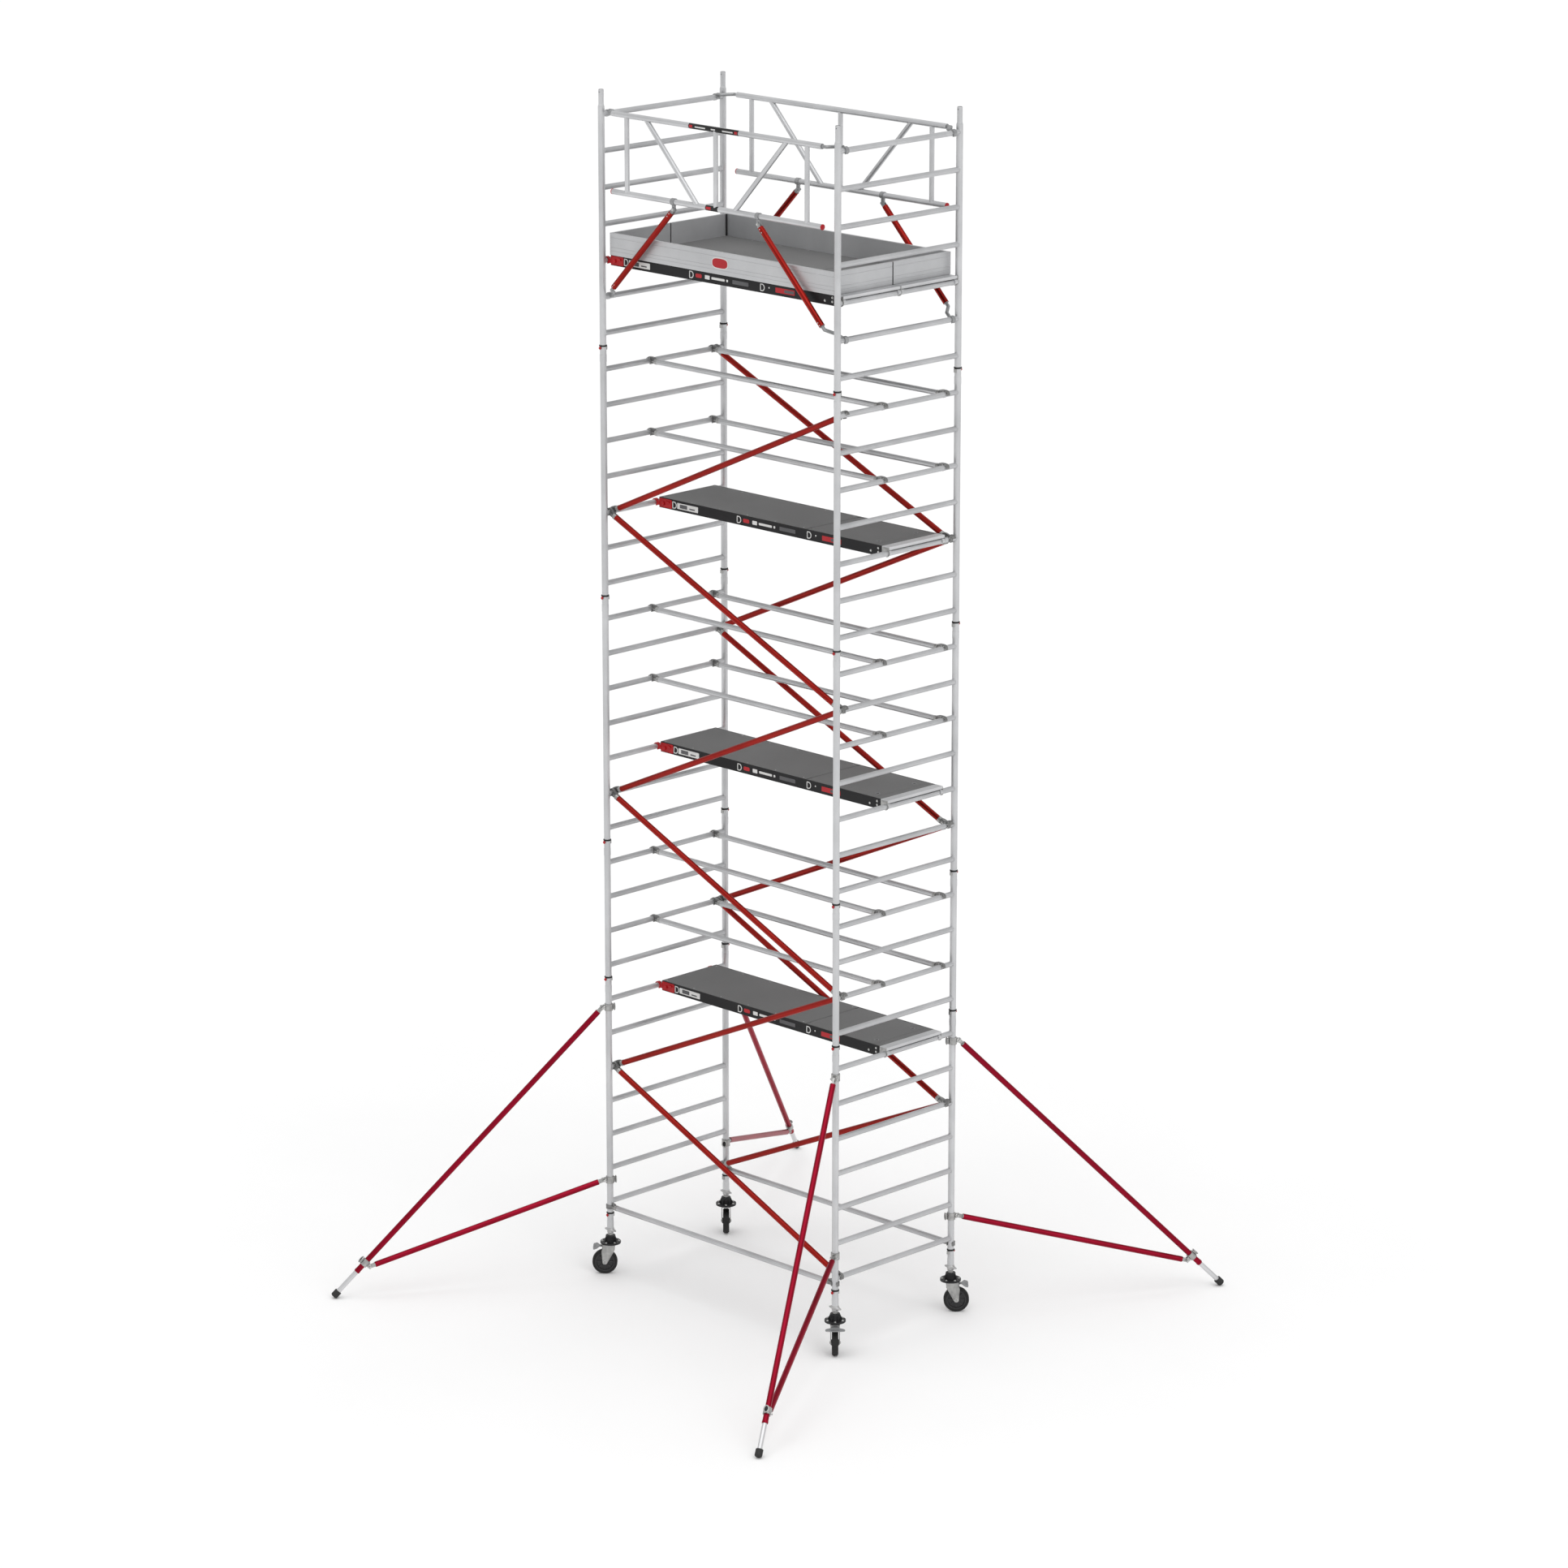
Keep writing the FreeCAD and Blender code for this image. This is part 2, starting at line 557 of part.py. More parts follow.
def end_hook():
    """Channel across the platform's end, which lies over the rung and hooks it at both sides."""
    x0 = DECK_HALF_LENGTH
    lip = HALF_X + HOOK_OVERHANG
    top = DECK_ABOVE_RUNG
    edge = PLATFORM_WIDTH / 2
    inside = x0 + HOOK_THICK
    profile = [(x0, top - BEAM_HEIGHT), (inside, top - BEAM_HEIGHT), (inside, top - HOOK_THICK),
               (lip - HOOK_THICK, top - HOOK_THICK), (lip - HOOK_THICK, top - HOOK_APRON),
               (lip, top - HOOK_APRON), (lip, top),
               (x0, top)]
    channel = outline(profile, PLATFORM_WIDTH)
    half = GRIP_WIDTH / 2
    grip = moved(turned_about(hook(GRIP_WIDTH, HALF_X - x0 - HOOK_THICK / 2, GRIP_WIDTH), 180), x=HALF_X)
    riser = box(HALF_X - GRIP_RISER / 2, HALF_X + GRIP_RISER / 2, -half, half,
                RUNG_OD / 2 + SEAT + CLAW_WALL / 2, top - HOOK_THICK / 2)
    grips = []
    for side in (-1, 1):
        grips += [moved(grip, y=side * (edge - half)), moved(riser, y=side * (edge - half))]
    return channel.fuse(grips)


def wind_locks():
    """The two hooks at a platform's other end, one on each side beam."""
    piece = moved(hook(BEAM_THICK, HALF_X - DECK_HALF_LENGTH, BEAM_THICK), x=-HALF_X)
    edge = (PLATFORM_WIDTH - BEAM_THICK) / 2
    return [moved(piece, y=side * edge) for side in (-1, 1)]


def platform_places():
    """Middle of each platform: its level, y, rung height and whether it has a hatch."""
    beside = (PLATFORM_WIDTH + TOP_PLATFORM_GAP) / 2
    places = [(i + 1, SINGLE_PLATFORM_Y, rung_z(n), True) for i, n in enumerate(PLATFORM_RUNGS[:-1])]
    level = len(PLATFORM_RUNGS)
    top = rung_z(PLATFORM_RUNGS[-1])
    return places + [(level, -beside, top, False), (level, beside, top, True)]


def platforms():
    frame = platform_frame()
    split_deck = deck_with_opening()
    whole_deck = [deck(-DECK_HALF_LENGTH, DECK_HALF_LENGTH)]
    hatch_panel = hatch()
    hook_piece = end_hook()
    locks = wind_locks()
    frames = {}
    decks = []
    hooks = []
    all_locks = []
    for level, y, z, has_hatch in platform_places():
        frames.setdefault(level, []).extend(moved(p, y=y, z=z) for p in frame)
        decks += [moved(p, y=y, z=z) for p in (split_deck if has_hatch else whole_deck)]
        hooks.append(moved(hook_piece, y=y, z=z))
        all_locks += [moved(p, y=y, z=z) for p in locks]
        if has_hatch:
            save(f"hatch_{level}", moved(hatch_panel, y=y, z=z))
    for level, pieces in frames.items():
        save(f"platform_frame_{level}", group(pieces))
    save("platform_decks", group(decks))
    save("platform_end_hooks", group(hooks))
    save("wind_locks", group(all_locks))


# ------------------------------------------------------------------ toe boards
def board_outline(out):
    """Ribbed section of a toe board: (distance, z) with its outer face at out."""
    z0 = rung_z(PLATFORM_RUNGS[-1]) + DECK_ABOVE_RUNG
    points = [(out - TOE_THICK, z0), (out, z0)]
    for share in TOE_GROOVES:
        z = z0 + TOE_HEIGHT * share
        floor = out - TOE_GROOVE_DEPTH
        points += [(out, z - TOE_GROOVE_HALF), (floor, z - TOE_GROOVE_FLOOR)]
        points += [(floor, z + TOE_GROOVE_FLOOR), (out, z + TOE_GROOVE_HALF)]
    return points + [(out, z0 + TOE_HEIGHT), (out - TOE_THICK, z0 + TOE_HEIGHT)]


def toe_boards():
    z0 = rung_z(PLATFORM_RUNGS[-1]) + DECK_ABOVE_RUNG
    back = section(board_outline(TOE_OUT_Y), -TOE_OUT_X, TOE_OUT_X)
    inner = TOE_OUT_Y - TOE_THICK
    start = TOE_HINGE_OD / 2 + HINGE_CLEAR
    half = moved(outline(board_outline(TOE_OUT_X), inner - start), y=(inner + start) / 2)
    other = moved(half, y=-(inner + start))
    pin = Part.makeCylinder(TOE_HINGE_OD / 2, TOE_HEIGHT, V(TOE_OUT_X - TOE_THICK / 2, 0, z0), UP)
    boards = [back, half, other, pin]
    save("toe_boards", group(boards + [turned_about(p, 180) for p in boards]))


# ------------------------------------------------------------------ guardrail frames and their struts
def bent_rod(points, outer):
    """Round bar through the points given, with a ball at each bend."""
    pieces = []
    for a, b in zip(points, points[1:]):
        pieces.append(Part.makeCylinder(outer / 2, (b - a).Length, a, b - a))
        pieces.append(Part.makeSphere(outer / 2, b))
    return pieces[0].fuse(pieces[1:-1])


def guard_rail_z():
    top = rung_z(GUARD_RUNG) + GUARD_RISE
    return top, top - GUARD_HEIGHT


def guard_frame():
    """Welded guardrail frame on the front face: two rails, three posts and two diagonals."""
    top, low = guard_rail_z()
    rails = []
    solids = []
    for z in (low, top):
        start = V(-GUARD_HALF_LENGTH, -GUARD_Y, z)
        rails.append(pointed(pipe(2 * GUARD_HALF_LENGTH, GUARD_OD, TUBE_WALL), start, ALONG_X))
        solids.append(Part.makeCylinder(GUARD_OD / 2, 2 * GUARD_HALF_LENGTH, start, ALONG_X))
    lines = [(V(x, -GUARD_Y, low), V(x, -GUARD_Y, top)) for x in (-GUARD_POST_X, 0, GUARD_POST_X)]
    high_x, low_x = GUARD_DIAGONAL_X
    lines += [(V(side * low_x, -GUARD_Y, low), V(side * high_x, -GUARD_Y, top)) for side in (-1, 1)]
    bars = []
    for a, b in lines:
        bar = pointed(pipe((b - a).Length, GUARD_POST_OD, TUBE_WALL), a, b - a)
        bars.append(bar.cut(solids))
    return rails + bars


def plug_into(tube_od, start, direction, length):
    """Plug of a fitting inside the end of a tube, drawn back from the tube's end at start."""
    radius = tube_od / 2 - TUBE_WALL - GAP
    return Part.makeCylinder(radius, length, start - direction * length, direction)


def rung_grip(z):
    """Hook of a guardrail fitting on the rung at this height, and the room its rung takes."""
    grip = moved(hook(CLAW_WIDTH, 2, 2), HALF_X, -HOOK_Y, z)
    start = V(HALF_X, -HOOK_Y - 2 * CLAW_WIDTH, z)
    return grip, Part.makeCylinder(RUNG_OD / 2 + SEAT, 4 * CLAW_WIDTH, start, ALONG_Y)


def guard_hook():
    """Bent arm from the right-hand end of the front top rail to the rung beside the post."""
    top, _ = guard_rail_z()
    start = V(GUARD_HALF_LENGTH, -GUARD_Y, top)
    out, back, end = GUARD_BEND_X
    arm = bent_rod([start, V(HALF_X - out, -GUARD_Y, top), V(HALF_X - back, -HOOK_Y, top),
                    V(HALF_X - end, -HOOK_Y, top)], HOOK_ROD_OD)
    grip, seat = rung_grip(rung_z(GUARD_RUNG))
    return arm.fuse([grip, plug_into(GUARD_OD, start, ALONG_X, PLUG_LENGTH)]).cut(seat)


def strut_line():
    """Head and foot of the right-hand strut of the front frame."""
    _, low = guard_rail_z()
    return (V(STRUT_TOP_X, -GUARD_Y, low - STRUT_DROP),
            V(STRUT_FOOT_X, -GUARD_Y, rung_z(STRUT_RUNG) + STRUT_FOOT_RISE))


def strut():
    head, foot = strut_line()
    direction = unit(foot - head)
    tube = fluted_pipe((foot - head).Length - STRUT_HEAD_GAP, STRUT_OD, TUBE_WALL)
    return pointed(tube, head + direction * STRUT_HEAD_GAP, direction)


def strut_bracket():
    """Collar on the lower rail with a tongue, a pin and the strut's forked head."""
    head, foot = strut_line()
    _, low = guard_rail_z()
    direction = unit(foot - head)
    half = BRACKET_TONGUE / 2
    cheek = half + BRACKET_CHEEK
    x0 = STRUT_TOP_X - BRACKET_HALF
    x1 = STRUT_TOP_X + BRACKET_HALF
    start = V(STRUT_TOP_X - COLLAR_WIDTH / 2, -GUARD_Y, low)
    collar = Part.makeCylinder(GUARD_OD / 2 + COLLAR_WALL, COLLAR_WIDTH, start, ALONG_X)
    tongue = box(x0, x1, -GUARD_Y - half, -GUARD_Y + half, head.z - BRACKET_BELOW_PIN, low)
    rail_room = Part.makeCylinder(GUARD_OD / 2 + GAP, 3 * COLLAR_WIDTH, start - ALONG_X * COLLAR_WIDTH,
                                  ALONG_X)
    body = collar.fuse(tongue).cut(rail_room)
    pin_half = cheek + PIN_END
    pin = Part.makeCylinder(BRACKET_PIN_OD / 2, 2 * pin_half, V(head.x, -GUARD_Y - pin_half, head.z), ALONG_Y)
    fork_head = pointed(box(-BRACKET_HALF, BRACKET_HALF, -cheek, cheek, -BRACKET_BELOW_PIN, STRUT_HEAD_GAP),
                        head, direction)
    slot = box(x0 - 3 * BRACKET_HALF, x1 + 3 * BRACKET_HALF, -GUARD_Y - half, -GUARD_Y + half,
               head.z - BRACKET_BELOW_PIN - BRACKET_CLEAR, low)
    plug = plug_into(STRUT_OD, head + direction * (STRUT_HEAD_GAP + HEAD_PLUG), direction, HEAD_PLUG)
    return body.fuse([pin, fork_head.cut(slot), plug])


def strut_hook():
    """Bent arm from the strut's foot, in behind the post, to the rung below the platform."""
    head, foot = strut_line()
    direction = unit(foot - head)
    z = rung_z(STRUT_RUNG)
    bend_in, bend_out, bend_up = STRUT_BEND
    end_in, end_up = STRUT_ARM_END
    arm = bent_rod([foot, foot + direction * (PLUG_LENGTH + 2),
                    V(HALF_X - bend_in, -HOOK_Y - bend_out, z + bend_up),
                    V(HALF_X - end_in, -HOOK_Y, z + end_up)], HOOK_ROD_OD)
    grip, seat = rung_grip(z)
    return arm.fuse([grip, plug_into(STRUT_OD, foot, direction, PLUG_LENGTH)]).cut(seat)


def mirrored_x(shape):
    return shape.mirror(V(0, 0, 0), ALONG_X)


def guardrails():
    front = guard_frame()
    save("guard_frame_front", group(front))
    save("guard_frame_back", group([turned_about(p, 180) for p in front]))
    right = strut()
    pair = [right, mirrored_x(right)]
    save("guard_struts", group(pair + [turned_about(p, 180) for p in pair]))
    fittings = []
    for piece in (guard_hook(), strut_bracket(), strut_hook()):
        fittings += [piece, mirrored_x(piece)]
    save("guard_fittings", group(fittings + [turned_about(p, 180) for p in fittings]))


# ------------------------------------------------------------------ stabilisers
def half_coupler(bore_od):
    """Clamp round a tube up Z at the origin, with two ears and a pin towards +X."""
    inner = bore_od / 2 + GAP
    outer = inner + CLAMP_WALL
    high = CLAMP_HEIGHT / 2
    gap = TONGUE_THICK / 2 + GAP
    pieces = []
    for side in (-1, 1):
        y0, y1 = sorted((side * gap, side * (gap + EAR_THICK)))
        pieces.append(box(outer - EAR_ROOT, CLAMP_PIN_X + EAR_BEYOND_PIN, y0, y1, -EAR_HALF, EAR_HALF))
    pieces.append(box(-outer - LEVER_REACH, -outer + LEVER_ROOT, -LEVER_HALF, LEVER_HALF,
                      -high + LEVER_INSET, high - LEVER_INSET))
    pin_half = gap + EAR_THICK + PIN_BEYOND_EAR
    pieces.append(Part.makeCylinder(CLAMP_PIN_OD / 2, 2 * pin_half, V(CLAMP_PIN_X, -pin_half, 0), ALONG_Y))
    bore = Part.makeCylinder(inner, 2 * CLAMP_HEIGHT, V(0, 0, -CLAMP_HEIGHT))
    return Part.makeCylinder(outer, CLAMP_HEIGHT, V(0, 0, -high)).fuse(pieces).cut(bore)


def end_fitting():
    """Tongue with an eye at the origin and a plug up the Z axis into its arm."""
    half = TONGUE_THICK / 2
    tongue = box(-EAR_HALF, EAR_HALF, -half, half, 0, TONGUE_LENGTH)
    end = Part.makeCylinder(EAR_HALF, TONGUE_THICK, V(0, -half, 0), ALONG_Y)
    plug = Part.makeCylinder(ARM_OD / 2 - ARM_WALL - GAP, FITTING_PLUG, V(0, 0, FITTING_PLUG_START))
    eye = Part.makeCylinder(CLAMP_PIN_OD / 2 + BEARING_FIT, 2 * TONGUE_THICK, V(0, -TONGUE_THICK, 0), ALONG_Y)
    return tongue.fuse([end, plug]).cut(eye)


def arm_points():
    """Upper pin, direction down the main arm, lower pin and the pin of the junction clamp."""
    slope = math.radians(ARM_SLOPE)
    upper = V(CLAMP_PIN_X, 0, UPPER_CLAMP_Z)
    down = V(math.cos(slope), 0, -math.sin(slope))
    lower = V(CLAMP_PIN_X, 0, LOWER_CLAMP_Z)
    junction = upper + down * JUNCTION_REACH + V(-math.sin(slope), 0, -math.cos(slope)) * CLAMP_PIN_X
    return upper, down, lower, junction


def foot_tip_reach():
    """Distance down the main arm at which the rounded foot just touches the floor."""
    slope = math.radians(ARM_SLOPE)
    flat = FOOT_CAP_OD / 2 - FOOT_CAP_ROUND
    return (UPPER_CLAMP_Z - FOOT_CAP_ROUND - flat * math.cos(slope)) / math.sin(slope) + FOOT_CAP_ROUND


def stabiliser_arms():
    upper, down, lower, junction = arm_points()
    main = pointed(pipe(ARM_END_REACH - ARM_START, ARM_OD, ARM_WALL), upper + down * ARM_START, down)
    out = unit(junction - lower)
    length = (junction - lower).Length - 2 * ARM_START
    return [main, pointed(pipe(length, ARM_OD, ARM_WALL), lower + out * ARM_START, out)]


def stabiliser_clamps():
    upper, down, lower, junction = arm_points()
    post_clamp = half_coupler(POST_OD)
    ring = turned_about(half_coupler(ARM_OD), 90 + ARM_SLOPE, ALONG_Y)
    at = upper + down * JUNCTION_REACH
    out = lower - junction
    fitting = end_fitting()
    return [moved(post_clamp, z=UPPER_CLAMP_Z), moved(post_clamp, z=LOWER_CLAMP_Z),
            moved(ring, at.x, at.y, at.z), pointed(fitting, upper, down),
            pointed(fitting, lower, out * -1), pointed(fitting, junction, out)]


def foot_cap():
    """Rubber cap with a rounded rim, its tip at the origin and its mouth up the Z axis."""
    radius = FOOT_CAP_OD / 2
    bend = FOOT_CAP_ROUND
    corner = bend * (1 - math.sqrt(0.5))
    bore = FOOT_TUBE_OD / 2
    edges = [
        Part.LineSegment(V(0, 0, 0), V(radius - bend, 0, 0)),
        Part.Arc(V(radius - bend, 0, 0), V(radius - corner, 0, corner), V(radius, 0, bend)),
        Part.LineSegment(V(radius, 0, bend), V(radius, 0, FOOT_CAP_LENGTH)),
        Part.LineSegment(V(radius, 0, FOOT_CAP_LENGTH), V(bore, 0, FOOT_CAP_LENGTH)),
        Part.LineSegment(V(bore, 0, FOOT_CAP_LENGTH), V(bore, 0, FOOT_CAP_FLOOR)),
        Part.LineSegment(V(bore, 0, FOOT_CAP_FLOOR), V(0, 0, FOOT_CAP_FLOOR)),
        Part.LineSegment(V(0, 0, FOOT_CAP_FLOOR), V(0, 0, 0)),
    ]
    return Part.Face(Part.Wire([e.toShape() for e in edges])).revolve(V(0, 0, 0), UP, 360)


def stabiliser_foot():
    """Telescopic tube inside the main arm, with its rubber cap."""
    upper, down, _, _ = arm_points()
    tip = upper + down * foot_tip_reach()
    inside = upper + down * (ARM_END_REACH - FOOT_TUBE_INSIDE)
    length = foot_tip_reach() - FOOT_CAP_FLOOR - (ARM_END_REACH - FOOT_TUBE_INSIDE)
    tube = pointed(pipe(length, FOOT_TUBE_OD, FOOT_TUBE_WALL), inside, down)
    return [tube, pointed(foot_cap(), tip, down * -1)]


def stabilisers():
    sets = {"arms": stabiliser_arms(), "clamps": stabiliser_clamps(), "foot": stabiliser_foot()}
    for corner, (sx, sy) in CORNERS.items():
        bearing = ARM_BEARING if sx * sy > 0 else 180 - ARM_BEARING
        turn = bearing if sy > 0 else bearing - 180
        for name, pieces in sets.items():
            placed = [moved(turned_about(p, turn), sx * HALF_X, sy * HALF_Y) for p in pieces]
            save(f"stabiliser_{corner}_{name}", group(placed))


# ------------------------------------------------------------------ casters
def spindle():
    """Black housing and flange with a bore for the kingpin, and the hollow threaded leg set into it."""
    kingpin = KINGPIN_OD / 2 + BEARING_FIT
    rod = SPIGOT_OD / 2
    seat = HOUSING_TOP_Z - LEG_SOCKET
    housing = lathe([
        (kingpin, FLANGE_Z), (FLANGE_OD / 2, FLANGE_Z), (FLANGE_OD / 2, FLANGE_Z + FLANGE_THICK),
        (HOUSING_OD / 2, FLANGE_Z + FLANGE_THICK), (HOUSING_OD / 2, HOUSING_TOP_Z - HOUSING_BEVEL),
        (HOUSING_OD / 2 - HOUSING_BEVEL, HOUSING_TOP_Z), (rod, HOUSING_TOP_Z), (rod, seat), (kingpin, seat),
    ])
    return [housing, moved(pipe(SPINDLE_ROD + LEG_SOCKET, SPIGOT_OD, SPINDLE_WALL), z=seat)]


def wing_nut():
    """Adjusting nut under the foot of a post, with two wings."""
    top = frame_feet()[0]
    low = top - NUT_HEIGHT
    body = Part.makeCylinder(NUT_OD / 2, NUT_HEIGHT, V(0, 0, low))
    wings = box(-NUT_SPAN / 2, NUT_SPAN / 2, -WING_HALF, WING_HALF, low + WING_INSET, top - WING_INSET)
    bore = Part.makeCylinder(SPIGOT_OD / 2 + GAP, 2 * NUT_HEIGHT, V(0, 0, low - NUT_HEIGHT / 2))
    return body.fuse(wings).cut(bore)


def fork_leg(side):
    """Cheek plate of the fork on one side of the wheel."""
    axle = WHEEL_OD / 2
    y = side * (FORK_WIDTH - FORK_PLATE) / 2
    top = FORK_TOP_Z
    ahead, rise = FORK_SHOULDER
    front = [(TRAIL + x, axle + z) for x, z in FORK_TIP]
    back = [(TRAIL - x, axle + z) for x, z in reversed(FORK_TIP)]
    plate = outline([(FORK_BACK_X, top), (FORK_FRONT_X, top), (FORK_FRONT_X, top - FORK_HEAD_DROP),
                     (TRAIL + ahead, axle + rise), *front, *back, (FORK_BACK_X, axle + FORK_BACK_RISE)],
                    FORK_PLATE)
    radius = AXLE_OD / 2 + AXLE_HOLE_CLEAR
    hole = Part.makeCylinder(radius, FORK_WIDTH, V(TRAIL, -FORK_WIDTH / 2, axle), ALONG_Y)
    return moved(plate.cut(hole), y=y)


def fork():
    """Swivel fork: top plate with its bearing and kingpin, two cheeks and the brake pedal's pin."""
    inside = FORK_WIDTH / 2 - FORK_PLATE
    top = box(FORK_BACK_X, FORK_FRONT_X, -inside, inside, FORK_TOP_Z - FORK_TOP_THICK, FORK_TOP_Z)
    bearing = Part.makeCylinder(BEARING_R, FLANGE_Z - GAP - FORK_TOP_Z, V(0, 0, FORK_TOP_Z))
    kingpin_length = HOUSING_TOP_Z - LEG_SOCKET - KINGPIN_CLEAR - FORK_TOP_Z
    kingpin = Part.makeCylinder(KINGPIN_OD / 2, kingpin_length, V(0, 0, FORK_TOP_Z))
    pin = Part.makeCylinder(PEDAL_PIN_OD / 2, 2 * inside, V(PEDAL_X, -inside, PEDAL_Z), ALONG_Y)
    return [top.fuse([bearing, kingpin]), fork_leg(-1), fork_leg(1), pin]


def axle_bolt():
    """Bolt through the hub with a hexagon at each end."""
    axle = WHEEL_OD / 2
    half = FORK_WIDTH / 2
    shank = Part.makeCylinder(AXLE_OD / 2, FORK_WIDTH, V(TRAIL, -half, axle), ALONG_Y)
    turns = [math.radians(60 * i) for i in range(7)]
    ring = [V(TRAIL + AXLE_NUT_R * math.cos(t), 0, axle + AXLE_NUT_R * math.sin(t)) for t in turns]
    nut = Part.Face(Part.makePolygon(ring)).extrude(V(0, AXLE_NUT_THICK, 0))
    return shank.fuse([moved(nut, y=half), moved(nut, y=-half - AXLE_NUT_THICK)])


def wheel():
    """Rubber tyre on a dished hub, which turns on the axle bolt."""
    outer = WHEEL_OD / 2
    rim = RIM_OD / 2
    wide = TYRE_WIDTH / 2
    bevel_in, bevel_along = TYRE_SHOULDER
    side = wide - TYRE_SIDE_INSET
    tyre = lathe([(rim, -side), (outer - bevel_in, -wide), (outer, -wide + bevel_along),
                  (outer, wide - bevel_along), (outer - bevel_in, wide), (rim, side)])
    bore = AXLE_OD / 2 + BEARING_FIT
    hub_r = HUB_OD / 2
    end = HUB_WIDTH / 2
    lip = wide - RIM_INSET
    dish = rim - RIM_DEPTH
    hub = lathe([(bore, -end), (hub_r, -end), (hub_r + HUB_FLARE, -HUB_FLARE_HALF), (dish - 2, -DISC_HALF),
                 (dish, -lip), (rim, -lip), (rim, lip), (dish, lip), (dish - 2, DISC_HALF),
                 (hub_r + HUB_FLARE, HUB_FLARE_HALF), (hub_r, end), (bore, end)])
    return [moved(turned_about(p, 90, ALONG_X), TRAIL, 0, outer) for p in (tyre, hub)]


def brake_pedal():
    """Two-armed foot pedal that turns on the pin between the fork's cheeks."""
    inside = FORK_WIDTH / 2 - FORK_PLATE - SEAT
    hub = Part.makeCylinder(PEDAL_HUB_R, 2 * inside, V(PEDAL_X, -inside, PEDAL_Z), ALONG_Y)
    end = PEDAL_X + PEDAL_REACH
    tread = box(end - PEDAL_TREAD, end, -PEDAL_HALF_WIDTH, PEDAL_HALF_WIDTH, PEDAL_Z,
                PEDAL_Z + PEDAL_TREAD_THICK)
    pieces = [tread]
    near, far = PEDAL_ARM_Y
    low, high = PEDAL_ARM_Z
    for side in (-1, 1):
        y0, y1 = sorted((side * near, side * far))
        pieces.append(box(PEDAL_X, end - PEDAL_ARM_SHORT, y0, y1, PEDAL_Z + low, PEDAL_Z + high))
    radius = PEDAL_PIN_OD / 2 + BEARING_FIT
    bore = Part.makeCylinder(radius, FORK_WIDTH, V(PEDAL_X, -FORK_WIDTH / 2, PEDAL_Z), ALONG_Y)
    return hub.fuse(pieces).cut(bore)


def casters():
    sets = {"spindle": spindle(), "fork": fork() + [axle_bolt()], "wheel": wheel(),
            "brake_pedal": [brake_pedal()]}
    nut = wing_nut()
    nuts = []
    for corner, (sx, sy) in CORNERS.items():
        outward = math.degrees(math.atan2(sy, sx))
        nuts.append(moved(nut, sx * HALF_X, sy * HALF_Y))
        for name, pieces in sets.items():
            placed = [moved(turned_about(p, outward), sx * HALF_X, sy * HALF_Y) for p in pieces]
            save(f"caster_{corner}_{name}", group(placed) if len(placed) > 1 else placed[0])
    save("wing_nuts", group(nuts))


os.makedirs("parts", exist_ok=True)
end_frames()
save("locking_clips", locking_clips())
save("clip_bands", clip_bands())
braces()
platforms()
toe_boards()
guardrails()
stabilisers()
casters()
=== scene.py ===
# %% [markdown]
# # Mobile tower scaffold
# A rolling aluminium tower: ladder end frames stacked on braked casters, held square by level and
# diagonal braces, with hatched platforms, a guarded top deck and four outrigger stabilisers.
# The engineering model comes in as a fixed frame. Its parts keep their shapes and get finishes here,
# and the small fittings that give the tower its scale are modelled around it.

# %% Load the frame
import json
import math

import bpy
import numpy as np
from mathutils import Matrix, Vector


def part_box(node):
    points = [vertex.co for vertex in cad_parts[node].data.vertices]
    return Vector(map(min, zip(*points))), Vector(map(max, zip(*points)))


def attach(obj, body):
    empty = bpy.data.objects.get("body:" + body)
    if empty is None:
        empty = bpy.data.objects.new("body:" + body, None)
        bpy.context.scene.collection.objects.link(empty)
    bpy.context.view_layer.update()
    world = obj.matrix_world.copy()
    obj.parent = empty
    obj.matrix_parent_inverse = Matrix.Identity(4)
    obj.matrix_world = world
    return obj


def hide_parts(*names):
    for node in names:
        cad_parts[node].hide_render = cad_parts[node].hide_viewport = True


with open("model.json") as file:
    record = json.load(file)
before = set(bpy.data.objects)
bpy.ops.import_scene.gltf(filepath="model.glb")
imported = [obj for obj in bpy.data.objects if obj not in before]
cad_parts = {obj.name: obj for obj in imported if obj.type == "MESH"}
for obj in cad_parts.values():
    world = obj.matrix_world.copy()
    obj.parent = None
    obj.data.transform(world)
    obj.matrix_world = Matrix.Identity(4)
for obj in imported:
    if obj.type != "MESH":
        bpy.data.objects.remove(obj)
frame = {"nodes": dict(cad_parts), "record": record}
scene = bpy.context.scene
nodes = frame["nodes"]
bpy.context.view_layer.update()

# %% [markdown]
# ## The sizes that everything else hangs on
# Fittings have to sit on the tubes of the frame. The half spans of the posts are worked out from the
# frame's own box; the rung pitch, the first rung, the deck heights and sizes that the frame doesn't hold,
# such as the depth of a label, are written as numbers.

# %% Sizes in metres
CORNERS = {"front_left": (-1, -1), "front_right": (1, -1), "back_left": (-1, 1), "back_right": (1, 1)}
POST_R = 0.0254
POST_FOOT_R = 0.027
frame_low, frame_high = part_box("right_end_frame_1")
HALF_X = (frame_low.x + frame_high.x) / 2
HALF_Y = frame_high.y - POST_FOOT_R
RUNG_PITCH = 0.28
FIRST_RUNG = 0.605
RUNG_R = 0.021


def rung_z(number):
    return FIRST_RUNG + (number - 1) * RUNG_PITCH


print("post centres at", round(HALF_X, 4), round(HALF_Y, 4))

# %% [markdown]
# ## Camera
# The tower is seen from a raised corner through a long lens, so its verticals stay almost parallel. The
# camera stands far off and is turned 45 degrees, which shows the long front and the ladder end alike.

